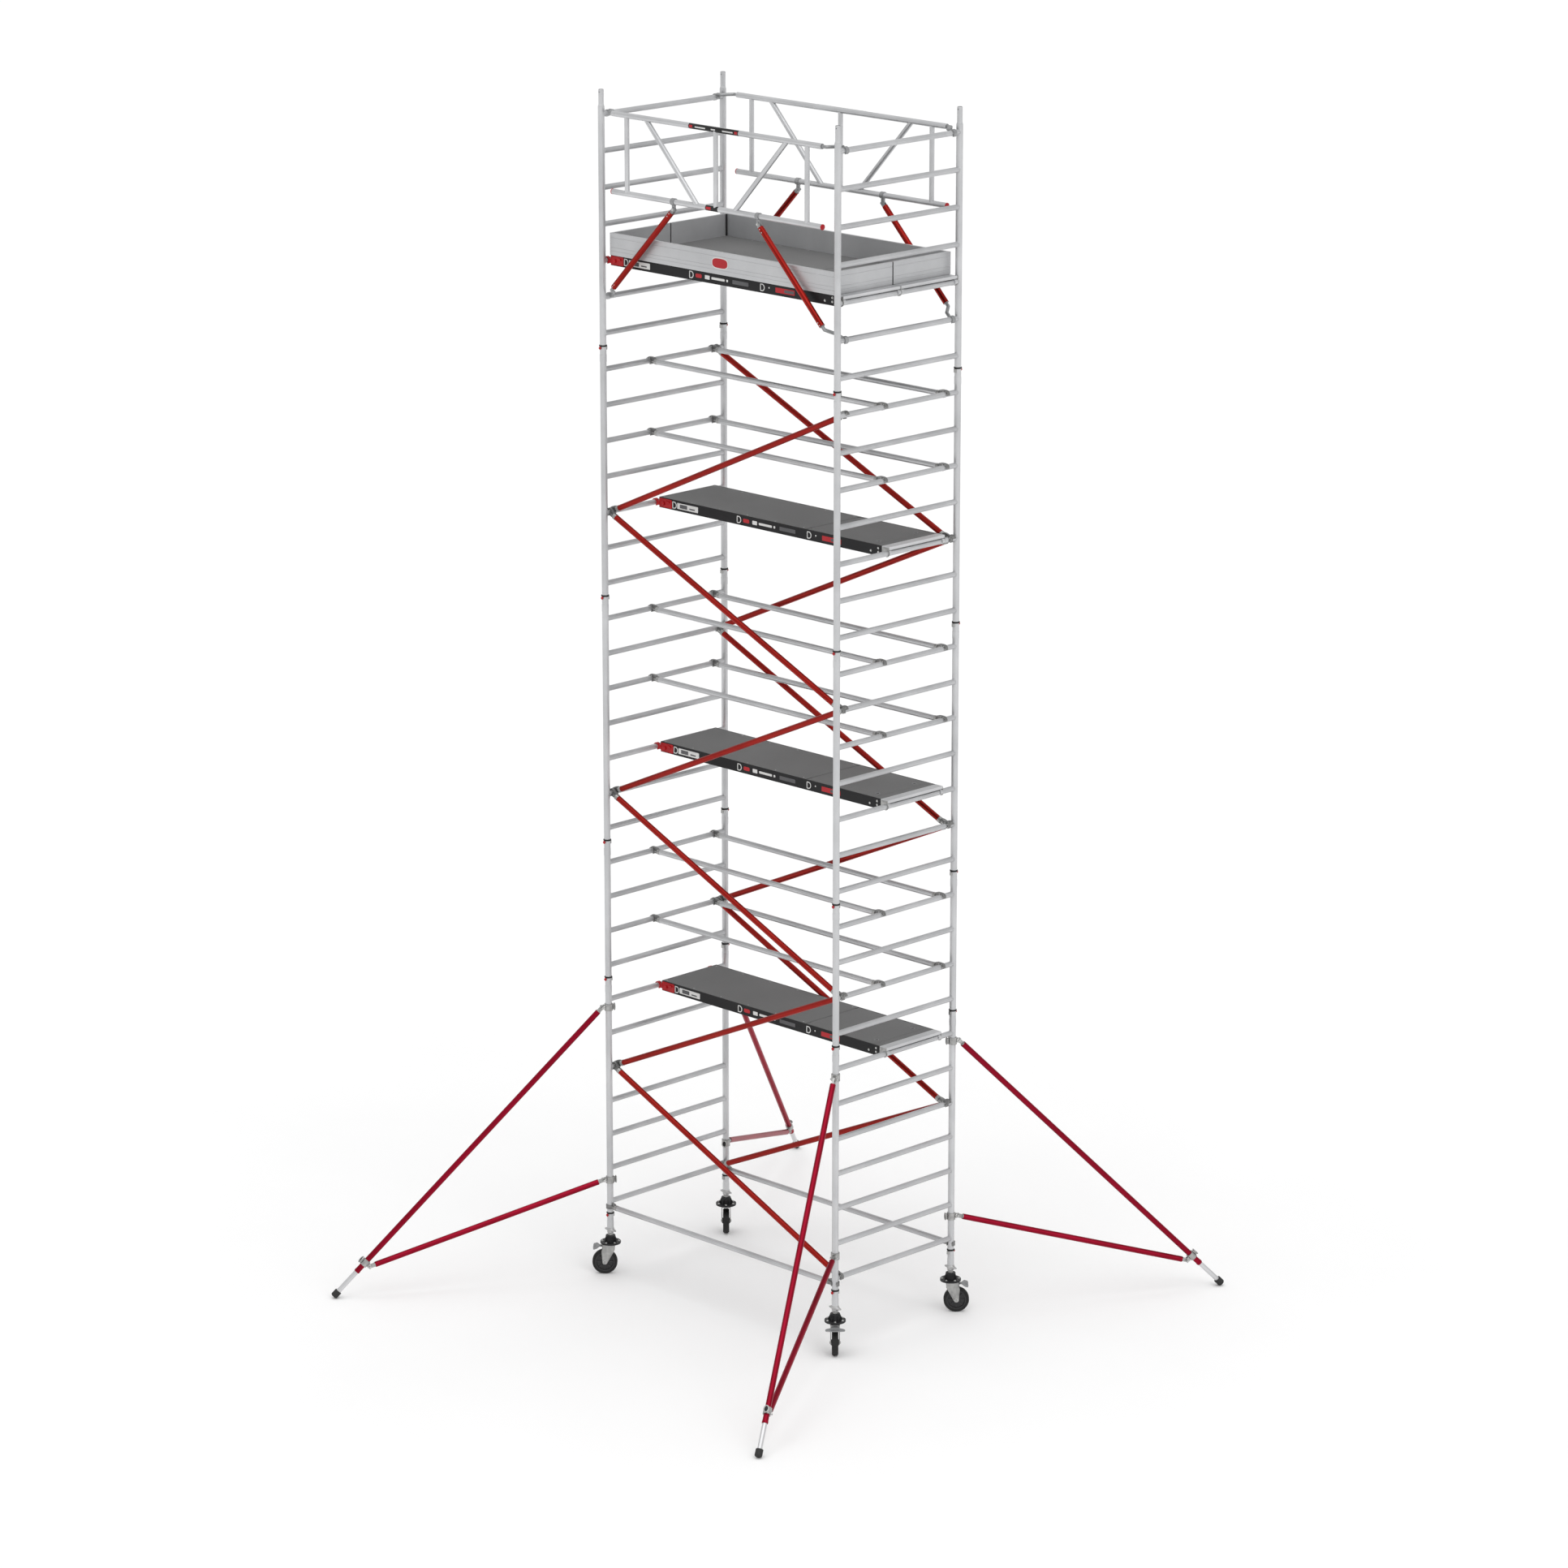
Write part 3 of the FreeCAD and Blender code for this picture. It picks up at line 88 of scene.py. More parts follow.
# %% Make the camera
lens = bpy.data.cameras.new("tower_camera")
lens.lens = 133.36
lens.sensor_width = 36
lens.clip_end = 200
camera = bpy.data.objects.new("tower_camera", lens)
camera.location = (30.578, -30.516, 16.006)
camera.rotation_euler = (math.radians(90 - 15.336), 0, math.radians(45.006))
scene.collection.objects.link(camera)
scene.camera = camera
print("camera at", tuple(camera.location))

# %% [markdown]
# ## Studio
# Bright metal shows mostly what surrounds it. A white world gives the tubes their pale grey, and two
# soft sun lamps, one high overhead and one lower from the side, give them a light and a dark flank, so that
# they read as round.

# %% World, lamps and floor
world = bpy.data.worlds.new("studio")
world.use_nodes = True
world.node_tree.nodes["Background"].inputs["Color"].default_value = (1, 1, 1, 1)
world.node_tree.nodes["Background"].inputs["Strength"].default_value = 0.70
scene.world = world
scene.view_settings.view_transform = "Standard"


def add_sun(name, heading, height, strength, softness):
    """A sun lamp that shines from a compass heading and a height, in degrees, with a soft edge."""
    light = bpy.data.lights.new(name, "SUN")
    light.energy = strength
    light.angle = math.radians(softness)
    lamp = bpy.data.objects.new(name, light)
    lamp.rotation_euler = (math.radians(90 - height), 0, math.radians(heading + 90))
    scene.collection.objects.link(lamp)


add_sun("overhead", -60, 78, 1.15, 70)
add_sun("side", -10, 30, 0.55, 40)

FLOOR_HALF = 400
FLOOR_Z = -0.001
floor_corners = [(x * FLOOR_HALF, y * FLOOR_HALF, FLOOR_Z) for x, y in ((-1, -1), (1, -1), (1, 1), (-1, 1))]
floor_mesh = bpy.data.meshes.new("floor")
floor_mesh.from_pydata(floor_corners, [], [(0, 1, 2, 3)])
floor = bpy.data.objects.new("floor", floor_mesh)
scene.collection.objects.link(floor)
print("studio ready")

# %% [markdown]
# ## Shader helpers
# A finish is a Principled shader whose colour, roughness and normal vary a little over the surface.
# The variation that many finishes share is kept in node groups: fine mottling with dust, the flutes
# that run round an extruded tube, and the lines that a brush or a die leaves along a length.

# %% Node helpers
def new_group(name, inputs, outputs):
    """An empty shader node group with the sockets given: (name, type, default)."""
    tree = bpy.data.node_groups.new(name, "ShaderNodeTree")
    for label, kind, value in inputs:
        socket = tree.interface.new_socket(label, in_out="INPUT", socket_type="NodeSocket" + kind)
        if value is not None:
            socket.default_value = value
    for label, kind in outputs:
        tree.interface.new_socket(label, in_out="OUTPUT", socket_type="NodeSocket" + kind)
    start = tree.nodes.new("NodeGroupInput")
    end = tree.nodes.new("NodeGroupOutput")
    return tree, start, end


def feed(tree, socket, value):
    """Joins value to the socket where it is a socket, or sets it there where it is a number."""
    if isinstance(value, bpy.types.NodeSocket):
        tree.links.new(value, socket)
    else:
        socket.default_value = value


def maths(tree, operation, *values):
    node = tree.nodes.new("ShaderNodeMath")
    node.operation = operation
    for socket, value in zip(node.inputs, values):
        feed(tree, socket, value)
    return node.outputs[0]


def noise_node(tree, vector, scale, detail=3.0, rough=0.55):
    node = tree.nodes.new("ShaderNodeTexNoise")
    feed(tree, node.inputs["Vector"], vector)
    feed(tree, node.inputs["Scale"], scale)
    node.inputs["Detail"].default_value = detail
    node.inputs["Roughness"].default_value = rough
    return node.outputs["Fac"]


def spread(tree, value, low_in, high_in, low_out, high_out):
    """Maps a range of value onto another range."""
    node = tree.nodes.new("ShaderNodeMapRange")
    feed(tree, node.inputs["Value"], value)
    limits = {"From Min": low_in, "From Max": high_in, "To Min": low_out, "To Max": high_out}
    for label, number in limits.items():
        feed(tree, node.inputs[label], number)
    return node.outputs["Result"]


def mix_colour(tree, share, first, second):
    node = tree.nodes.new("ShaderNodeMix")
    node.data_type = "RGBA"
    feed(tree, node.inputs[0], share)
    feed(tree, node.inputs[6], first)
    feed(tree, node.inputs[7], second)
    return node.outputs[2]


def object_place(tree):
    return tree.nodes.new("ShaderNodeTexCoord").outputs["Object"]


print("helpers ready")


# %% Shared effects
def make_mottle():
    """Group: two sizes of noise, for colour, roughness and a fine bump."""
    tree, start, end = new_group("mottle", [("Place", "Vector", None), ("Coarse", "Float", 3.0),
                                            ("Fine", "Float", 60.0)],
                                 [("Patches", "Float"), ("Grain", "Float")])
    feed(tree, end.inputs["Patches"], noise_node(tree, start.outputs["Place"], start.outputs["Coarse"], 4.0))
    feed(tree, end.inputs["Grain"], noise_node(tree, start.outputs["Place"], start.outputs["Fine"], 2.0))
    return tree


def make_streaks():
    """Group: noise stretched along one axis, for the marks of a die or a brush."""
    tree, start, end = new_group("streaks", [("Place", "Vector", None), ("Stretch", "Vector", (1, 1, 1)),
                                             ("Scale", "Float", 200.0)], [("Lines", "Float")])
    scaled = tree.nodes.new("ShaderNodeVectorMath")
    scaled.operation = "MULTIPLY"
    feed(tree, scaled.inputs[0], start.outputs["Place"])
    feed(tree, scaled.inputs[1], start.outputs["Stretch"])
    feed(tree, end.inputs["Lines"], noise_node(tree, scaled.outputs[0], start.outputs["Scale"], 2.0))
    return tree


def make_flutes():
    """Group: height of the flutes round a tube, from the two offsets across it: cos(count * angle)."""
    tree, start, end = new_group("flutes", [("Across", "Float", 0.0), ("Along", "Float", 1.0),
                                            ("Count", "Float", 14.0)], [("Height", "Float")])
    angle = maths(tree, "ARCTAN2", start.outputs["Across"], start.outputs["Along"])
    wave = maths(tree, "COSINE", maths(tree, "MULTIPLY", angle, start.outputs["Count"]))
    crest = maths(tree, "POWER", spread(tree, wave, -1.0, 1.0, 0.0, 1.0), 6.0)
    feed(tree, end.inputs["Height"], maths(tree, "SUBTRACT", 1.0, crest))
    return tree


# Painted shade bands along a tube: how far up the surface faces at the middle of each dark band, half the
# band's width, and how much it darkens.
PAINTED_SHADE_BANDS = ((0.28, 0.11, 0.75), (-0.42, 0.07, 0.55), (0.80, 0.05, 0.35))


def make_painted_shade_bands():
    """Group: painted shade along a tube, dark bands each 1 - |z - height| / width of the normal's upward part
    z.
    """
    tree, start, end = new_group("painted tube shade", [("Normal", "Vector", None)], [("Depth", "Float")])
    surface = tree.nodes.new("ShaderNodeSeparateXYZ")
    feed(tree, surface.inputs[0], start.outputs["Normal"])
    depth = 0.0
    for height, width, share in PAINTED_SHADE_BANDS:
        off = maths(tree, "ABSOLUTE", maths(tree, "SUBTRACT", surface.outputs["Z"], height))
        band = maths(tree, "SUBTRACT", 1.0, maths(tree, "DIVIDE", off, width))
        band = maths(tree, "MULTIPLY", maths(tree, "MAXIMUM", band, 0.0), share)
        depth = maths(tree, "MAXIMUM", band, depth)
    feed(tree, end.inputs["Depth"], depth)
    return tree


mottle = make_mottle()
streaks = make_streaks()
flutes = make_flutes()
painted_tube_shade = make_painted_shade_bands()
print("groups:", [g.name for g in bpy.data.node_groups])


# %% [markdown]
# ## Finishes
# Each finish is its own function or one call of a plain recipe: a base colour that drifts by a few
# percent between two shades, a roughness that drifts with it, and a bump that is a fraction of a
# millimetre deep. Metals reflect their own colour, paints keep a clear gloss over theirs.

# %% Material recipe
def place_group(tree, group, **values):
    node = tree.nodes.new("ShaderNodeGroup")
    node.node_tree = group
    for label, value in values.items():
        feed(tree, node.inputs[label], value)
    return node


# How dark the painted shade bands make a tube's own colour.
PAINTED_SHADE_LEVEL = 0.22
POST_EDGE = 0.001


def make_finish(name, dark, light, metallic=0.0, rough=(0.4, 0.55), coarse=2.5, fine=90.0,
                  bump=0.0002, stretch=None, height=None, relief=0.001, shine=0.5, inlay=None, painted_shade=False):
    """Principled finish between two shades. stretch draws the grain out into lines; height adds relief.
    inlay is (mask, colour, metallic, roughness) for a part of the surface that is of another stuff.
    The last flag adds painted shade: dark bands by how far the surface faces up."""
    material = bpy.data.materials.new(name)
    material.use_nodes = True
    tree = material.node_tree
    shader = tree.nodes["Principled BSDF"]
    place = object_place(tree)
    patches = place_group(tree, mottle, Place=place, Coarse=coarse, Fine=fine)
    grain = patches.outputs["Grain"]
    if stretch:
        grain = place_group(tree, streaks, Place=place, Stretch=stretch, Scale=fine).outputs["Lines"]
    share = spread(tree, patches.outputs["Patches"], 0.3, 0.7, 0.0, 1.0)
    colour = mix_colour(tree, share, (*dark, 1), (*light, 1))
    # Painted shade: the colour darkens in bands by how far the surface faces up.
    if painted_shade:
        surface = tree.nodes.new("ShaderNodeNewGeometry").outputs["True Normal"]
        shade = place_group(tree, painted_tube_shade, Normal=surface).outputs["Depth"]
        colour = mix_colour(tree, shade, colour, (*[PAINTED_SHADE_LEVEL * c for c in dark], 1))
    roughness = spread(tree, grain, 0.3, 0.7, rough[0], rough[1])
    shader.inputs["Metallic"].default_value = metallic
    if inlay:
        mask = inlay[0](tree, place)
        colour = mix_colour(tree, mask, colour, (*inlay[1], 1))
        roughness = spread(tree, mask, 0.0, 1.0, roughness, inlay[3])
        feed(tree, shader.inputs["Metallic"], spread(tree, mask, 0.0, 1.0, metallic, inlay[2]))
    feed(tree, shader.inputs["Base Color"], colour)
    feed(tree, shader.inputs["Roughness"], roughness)
    shader.inputs["Specular IOR Level"].default_value = shine
    skin = tree.nodes.new("ShaderNodeBump")
    skin.inputs["Distance"].default_value = bump
    feed(tree, skin.inputs["Height"], grain)
    normal = skin.outputs["Normal"]
    if height:
        ribs = tree.nodes.new("ShaderNodeBump")
        ribs.inputs["Distance"].default_value = relief
        feed(tree, ribs.inputs["Height"], height(tree, place))
        feed(tree, ribs.inputs["Normal"], normal)
        normal = ribs.outputs["Normal"]
    feed(tree, shader.inputs["Normal"], normal)
    return material


def mirrored_place(tree, place):
    """|x|, |y| and z, because the four corners of the tower mirror each other."""
    axes = tree.nodes.new("ShaderNodeSeparateXYZ")
    feed(tree, axes.inputs[0], place)
    return (maths(tree, "ABSOLUTE", axes.outputs["X"]), maths(tree, "ABSOLUTE", axes.outputs["Y"]),
            axes.outputs["Z"])


def frame_flutes(tree, place):
    """Flutes of an end frame: round the posts' axes outside, round the rungs' axes between them."""
    across, side, z = mirrored_place(tree, place)
    x = maths(tree, "SUBTRACT", across, HALF_X)
    y = maths(tree, "SUBTRACT", side, HALF_Y)
    rung = maths(tree, "WRAP", maths(tree, "SUBTRACT", z, FIRST_RUNG), RUNG_PITCH / 2, -RUNG_PITCH / 2)
    post = place_group(tree, flutes, Across=x, Along=y, Count=18.0).outputs["Height"]
    ladder = place_group(tree, flutes, Across=x, Along=rung, Count=12.0).outputs["Height"]
    on_post = maths(tree, "GREATER_THAN", side, HALF_Y - POST_R - POST_EDGE)
    post_share = maths(tree, "MULTIPLY", maths(tree, "MULTIPLY", post, on_post), 0.5)
    rung_share = maths(tree, "MULTIPLY", ladder, maths(tree, "SUBTRACT", 1.0, on_post))
    return maths(tree, "ADD", post_share, rung_share)


def above(height):
    """Mask of what lies above a height."""
    return lambda tree, place: maths(tree, "GREATER_THAN", mirrored_place(tree, place)[2], height)


SLOPE = math.radians(45.2)
ARM_BEARING = math.radians(60)
UPPER_Z = 2.222
PIN_X = 0.052
CAP_LENGTH = 0.058
CAP_R = 0.029
CAP_ROUND = 0.014
TRAIL = 0.046
AXLE_Z = 0.100
HUB_R = 0.0778
CAP_EDGE = 0.0005
LEG_TOP_Z = 0.3232
THREAD_PITCH = 0.005


def foot_end(tree, place):
    """Mask of a stabiliser's rubber cap: its last stretch, measured along the slope of the arm."""
    x, y, z = mirrored_place(tree, place)
    flat = CAP_R - CAP_ROUND
    reach = (UPPER_Z - CAP_ROUND - flat * math.cos(SLOPE)) / math.sin(SLOPE) + CAP_ROUND
    out = (math.cos(ARM_BEARING) * math.cos(SLOPE), math.sin(ARM_BEARING) * math.cos(SLOPE))
    corner = HALF_X * out[0] + HALF_Y * out[1] + PIN_X * math.cos(SLOPE) - UPPER_Z * math.sin(SLOPE)
    along = maths(tree, "ADD", maths(tree, "MULTIPLY", x, out[0]), maths(tree, "MULTIPLY", y, out[1]))
    along = maths(tree, "SUBTRACT", along, maths(tree, "MULTIPLY", z, math.sin(SLOPE)))
    return maths(tree, "GREATER_THAN", along, corner + reach - CAP_LENGTH - CAP_EDGE)


def wheel_hub(tree, place):
    """Mask of a wheel's hub: within its radius of the axle, whichever corner the wheel stands at."""
    x, y, z = mirrored_place(tree, place)
    out = maths(tree, "MULTIPLY", maths(tree, "ADD", x, y), math.sqrt(0.5))
    across = maths(tree, "SUBTRACT", out, math.sqrt(0.5) * (HALF_X + HALF_Y) + TRAIL)
    up = maths(tree, "SUBTRACT", z, AXLE_Z)
    square = maths(tree, "ADD", maths(tree, "MULTIPLY", across, across), maths(tree, "MULTIPLY", up, up))
    return maths(tree, "LESS_THAN", square, HUB_R ** 2)


def leg_thread(tree, place):
    """Height of a screw thread: a wave that climbs with z."""
    z = mirrored_place(tree, place)[2]
    return maths(tree, "SINE", maths(tree, "MULTIPLY", z, 2 * math.pi / THREAD_PITCH))


print("recipe ready")

# %% Tube and fitting finishes
ALUMINIUM_DARK = (0.50, 0.505, 0.515)
ALUMINIUM_LIGHT = (0.62, 0.625, 0.635)
finishes = {
    "frame_tube": make_finish(
        "frame_aluminium", ALUMINIUM_DARK, ALUMINIUM_LIGHT, 0.7, (0.30, 0.44), fine=120.0,
        height=frame_flutes, relief=0.0009),
    # Silver braces: painted shade bands darken the tube by how far it faces up.
    "brace_tube": make_finish(
        "brace_aluminium", ALUMINIUM_DARK, ALUMINIUM_LIGHT, 0.75, (0.28, 0.42), stretch=(0.02, 1, 1),
        fine=300.0, painted_shade=True),
    "guard_tube": make_finish(
        "guard_aluminium", ALUMINIUM_DARK, ALUMINIUM_LIGHT, 0.7, (0.32, 0.46), stretch=(0.02, 1, 1),
        fine=300.0),
    "toe_board_metal": make_finish(
        "toe_board_aluminium", (0.48, 0.485, 0.495), (0.56, 0.565, 0.575), 0.6, (0.38, 0.5),
        stretch=(0.02, 0.02, 1), fine=400.0),
    "zinc_fitting": make_finish(
        "zinc_plate", (0.30, 0.30, 0.295), (0.48, 0.48, 0.47), 0.85, (0.28, 0.48), coarse=25.0),
    "claw_casting": make_finish(
        "claw_casting", (0.16, 0.16, 0.16), (0.27, 0.27, 0.265), 0.75, (0.34, 0.52), coarse=40.0,
        bump=0.0006),
    "cast_nut": make_finish(
        "cast_zinc", (0.40, 0.40, 0.40), (0.56, 0.56, 0.56), 0.8, (0.36, 0.56), coarse=30.0, bump=0.0006),
    "grey_fitting": make_finish(
        "grey_fitting_paint", (0.26, 0.265, 0.27), (0.36, 0.365, 0.37), 0.5, (0.32, 0.46), coarse=12.0),
    "clip_plastic": make_finish(
        "clip_black_plastic", (0.010, 0.010, 0.011), (0.022, 0.022, 0.022), 0.0, (0.4, 0.55), shine=0.25),
    # Red braces: painted shade bands darken the tube by how far it faces up.
    "brick_red_tube": make_finish(
        "brace_red_lacquer", (0.30, 0.011, 0.007), (0.38, 0.018, 0.012), 0.85, (0.30, 0.44),
        stretch=(0.03, 1, 0.03), fine=200.0, painted_shade=True),
    "crimson_tube": make_finish(
        "stabiliser_crimson_lacquer", (0.225, 0.001, 0.013), (0.30, 0.002, 0.021), 0.85, (0.28, 0.40),
        fine=160.0),
    "wind_lock_red": make_finish(
        "wind_lock_red_plastic", (0.36, 0.006, 0.010), (0.44, 0.012, 0.016), 0.0, (0.35, 0.5), coarse=20.0,
        shine=0.25),
    "deck_board": make_finish(
        "deck_phenolic_board", (0.135, 0.135, 0.135), (0.160, 0.160, 0.160), 0.0, (0.5, 0.68), coarse=1.2,
        fine=420.0, bump=0.0006, shine=0.25),
    "black_beam": make_finish(
        "beam_black_paint", (0.006, 0.006, 0.007), (0.012, 0.012, 0.013), 0.0, (0.34, 0.46),
        stretch=(0.03, 1, 1), fine=200.0, shine=0.22),
    "foot_tube": make_finish(
        "foot_tube_and_cap", (0.56, 0.56, 0.57), (0.68, 0.68, 0.69), 0.75, (0.28, 0.4), fine=120.0,
        inlay=(foot_end, (0.014, 0.014, 0.014), 0.0, 0.65)),
    "spindle_black": make_finish(
        "caster_housing_and_leg", (0.010, 0.010, 0.011), (0.025, 0.025, 0.027), 0.1, (0.35, 0.5),
        coarse=30.0, height=leg_thread, relief=0.0008, shine=0.3, inlay=(above(LEG_TOP_Z),
        (0.52, 0.52, 0.51), 0.85, 0.36)),
    "wheel_tyre": make_finish(
        "tyre_and_hub", (0.009, 0.009, 0.009), (0.018, 0.018, 0.018), 0.0, (0.55, 0.75), coarse=25.0,
        bump=0.0004, shine=0.3, inlay=(wheel_hub, (0.035, 0.035, 0.036), 0.0, 0.45)),
    "pedal_grey": make_finish(
        "pedal_grey_plastic", (0.22, 0.225, 0.23), (0.28, 0.285, 0.29), 0.2, (0.4, 0.55), coarse=30.0,
        shine=0.3),
    "latch_steel": make_finish(
        "latch_spring_steel", (0.20, 0.20, 0.20), (0.32, 0.32, 0.32), 0.8, (0.3, 0.45), coarse=30.0),
    "bolt_steel": make_finish(
        "bolt_bright_zinc", (0.48, 0.48, 0.47), (0.64, 0.64, 0.63), 0.9, (0.22, 0.38), coarse=40.0),
    "plate_white": make_finish("printed_white", (0.60, 0.60, 0.59), (0.70, 0.70, 0.69), 0.0, (0.35, 0.5)),
    "plate_grey": make_finish(
        "printed_grey", (0.07, 0.07, 0.075), (0.11, 0.11, 0.115), 0.0, (0.35, 0.5), shine=0.3),
    "plate_red": make_finish(
        "printed_red", (0.38, 0.008, 0.014), (0.45, 0.014, 0.022), 0.0, (0.3, 0.45), shine=0.3),
    "hub_plastic": make_finish(
        "hub_dark_plastic", (0.030, 0.030, 0.031), (0.05, 0.05, 0.052), 0.0, (0.4, 0.55), coarse=40.0,
        shine=0.35),
    "tread_rubber": make_finish(
        "tread_rubber", (0.010, 0.010, 0.010), (0.020, 0.020, 0.020), 0.0, (0.6, 0.8), coarse=40.0,
        shine=0.3),
}
floor_finish = make_finish("studio_floor", (0.90, 0.90, 0.90), (0.92, 0.92, 0.92), 0.0, (0.85, 0.95),
                           coarse=0.3, bump=0.0)
floor.data.materials.append(floor_finish)

# %% Put each finish on its nodes
slots = {part["node"]: part["material_slot"] for part in frame["record"]["subparts"]}
own_finish = {"brace_claws": "claw_casting"}
for name, node in nodes.items():
    node.data.materials.clear()
    node.data.materials.append(finishes[own_finish.get(name, slots[name])])
print("finished nodes:", len(nodes))

# %% [markdown]
# ## Surfaces from formulas
# Every fitting below is a shape, which is a pair of an array of points and a list of faces. Three
# recipes cover most of them: a profile turned about an axis, a section carried along a path, and an
# outline given a thickness. A shape that repeats is made once and placed by matrices.

# %% Grids, turned shapes and swept shapes
def around(steps):
    """Angles of a full turn, without the last one."""
    return np.linspace(0, 2 * np.pi, steps, endpoint=False)


def grid_faces(rows, columns, wrap_rows):
    """Quads between neighbours (i, j), (i, j+1), (i+1, j+1), (i+1, j) of a grid whose rows are closed."""
    i = np.arange(rows if wrap_rows else rows - 1)[:, None]
    j = np.arange(columns)[None, :]
    i2 = (i + 1) % rows
    j2 = (j + 1) % columns
    row, next_row = i * columns, i2 * columns
    return np.stack([row + j, row + j2, next_row + j2, next_row + j], -1).reshape(-1, 4)


def grid_shape(grid, wrap_rows=False):
    """Closed surface over grid[row, column, xyz]: the last row joins the first, or both get a flat face."""
    rows, columns, _ = grid.shape
    faces = [tuple(f) for f in grid_faces(rows, columns, wrap_rows).tolist()]
    if not wrap_rows:
        faces += [tuple(range(columns))[::-1], tuple(range((rows - 1) * columns, rows * columns))]
    return grid.reshape(-1, 3), faces


def turned(profile, sides, ring=False):
    """Surface of revolution about Z: (r cos t, r sin t, z) for each (r, z) of the profile."""
    r, z = np.array(profile, float).T
    t = around(sides)
    grid = np.stack([np.outer(r, np.cos(t)), np.outer(r, np.sin(t)), np.outer(z, np.ones(sides))], -1)
    return grid_shape(grid, wrap_rows=ring)


def swept(path, section, ring=False, up=(0, 0, 1)):
    """Section (side, up) carried along a path: p + a * side + b * up, square to the path's direction."""
    path = np.array(path, float)
    section = np.array(section, float)
    if ring:
        along = np.roll(path, -1, 0) - np.roll(path, 1, 0)
    else:
        along = np.gradient(path, axis=0)
    along /= np.linalg.norm(along, axis=1, keepdims=True)
    side = np.cross(along, np.array(up, float))
    side /= np.linalg.norm(side, axis=1, keepdims=True)
    top = np.cross(side, along)
    offset = section[None, :, :1] * side[:, None, :] + section[None, :, 1:] * top[:, None, :]
    grid = path[:, None, :] + offset
    return grid_shape(grid[:, ::-1], wrap_rows=ring)


def prism(outline, low, high):
    """Outline of (x, y) points, anticlockwise, between two heights."""
    outline = np.array(outline, float)
    grid = np.stack([np.column_stack([outline, np.full(len(outline), z)]) for z in (low, high)])
    return grid_shape(grid)


def circle(radius, sides):
    t = around(sides)
    return np.column_stack([radius * np.cos(t), radius * np.sin(t)])


def rounded(width, height, radius):
    """Rectangle about the origin with quarter-circle corners of five points each."""
    t = np.linspace(0, np.pi / 2, 5)
    corner = np.column_stack([np.cos(t), np.sin(t)]) * radius
    turns = [np.array([[c, s], [-s, c]]) for c, s in ((1, 0), (0, 1), (-1, 0), (0, -1))]
    centres = np.array([[1, 1], [-1, 1], [-1, -1], [1, -1]]) * [width / 2 - radius, height / 2 - radius]
    return np.concatenate([corner @ turn + centre for turn, centre in zip(turns, centres)])


print("square with round corners has", len(rounded(1, 1, 0.2)), "points")


# %% Place, copy and join shapes
def at(origin, x_axis=(1, 0, 0), z_axis=(0, 0, 1)):
    """Matrix of a frame: its X and Z run along the axes given, and Y completes it."""
    z = np.array(z_axis, float) / np.linalg.norm(z_axis)
    x = np.array(x_axis, float) - np.dot(x_axis, z) * z
    x /= np.linalg.norm(x)
    matrix = np.eye(4)
    matrix[:3, :3] = np.column_stack([x, np.cross(z, x), z])
    matrix[:3, 3] = origin
    return matrix


def facing_y(origin, side=1):
    """Matrix of a frame whose Z looks to the back for side 1, or to the front for side -1."""
    return at(origin, (1, 0, 0), (0, side, 0))


def facing(angle, x=0.0, y=0.0):
    """Matrix of a frame turned about Z and moved to (x, y)."""
    return at((x, y, 0), (math.cos(angle), math.sin(angle), 0))


def placed(shape, matrix):
    points, faces = shape
    return points @ matrix[:3, :3].T + matrix[:3, 3], faces


def joined(shapes):
    points = []
    faces = []
    start = 0
    for some_points, some_faces in shapes:
        points.append(some_points)
        faces += [tuple(i + start for i in f) for f in some_faces]
        start += len(some_points)
    return np.concatenate(points), faces


def mirrored(shape, matrix):
    """Copy of a shape whose X is turned about, for the beam on a platform's other side."""
    points, faces = placed((shape[0] * [-1, 1, 1], shape[1]), matrix)
    return points, [f[::-1] for f in faces]


def stood_up(shape):
    """Shape whose outline stands in the XZ plane, its thickness along Y."""
    return shape[0][:, [0, 2, 1]] * [1, -1, 1], shape[1]


def copies(shape, matrices):
    return joined([placed(shape, m) for m in matrices])


def make_piece(name, shape, finish, slot=None, body="tower", crease=35):
    """Mesh object in the frame's own place, riding on a body, with its finish as its material.
    Edges sharper than crease stay sharp. The slot argument is not used."""
    points, faces = shape
    mesh = bpy.data.meshes.new(name)
    mesh.from_pydata(points.tolist(), [], faces)
    mesh.shade_smooth()
    mesh.set_sharp_from_angle(angle=math.radians(crease))
    mesh.materials.append(finishes[finish])
    piece = bpy.data.objects.new(name, mesh)
    scene.collection.objects.link(piece)
    slot = slot or finish
    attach(piece, body)
    return piece


HEX_HEAD = [(0.0065, 0), (0.0065, 0.004), (0.0055, 0.005)]


def bolt_head(size=1.0):
    """Six-sided head on a round washer, standing on the XY plane."""
    washer = turned([(0.009 * size, 0), (0.009 * size, 0.0012 * size)], 16)
    head = turned([(r * size, 0.0012 * size + z * size) for r, z in HEX_HEAD], 6)
    return joined([washer, head])


def rivet(radius=0.004, rise=0.0012):
    """Low dome: r = radius cos a, z = rise sin a."""
    a = np.linspace(0, 0.49 * np.pi, 5)
    return turned(np.column_stack([radius * np.cos(a), rise * np.sin(a)]), 12)


print("bolt head", len(bolt_head()[1]), "faces; rivet", len(rivet()[1]), "faces")

# %% [markdown]
# ## End frames
# Each rung is welded into its two posts, so a bead runs round every joint. The bead follows the line
# where the two tubes meet: as the angle goes round the rung, the point moves along it to stay on the
# post's curve. One bead is worked out and placed at both ends of every rung.

# %% Weld beads
RUNGS = 32
BEAD_R = 0.0022
BEAD_LIFT = 0.0006


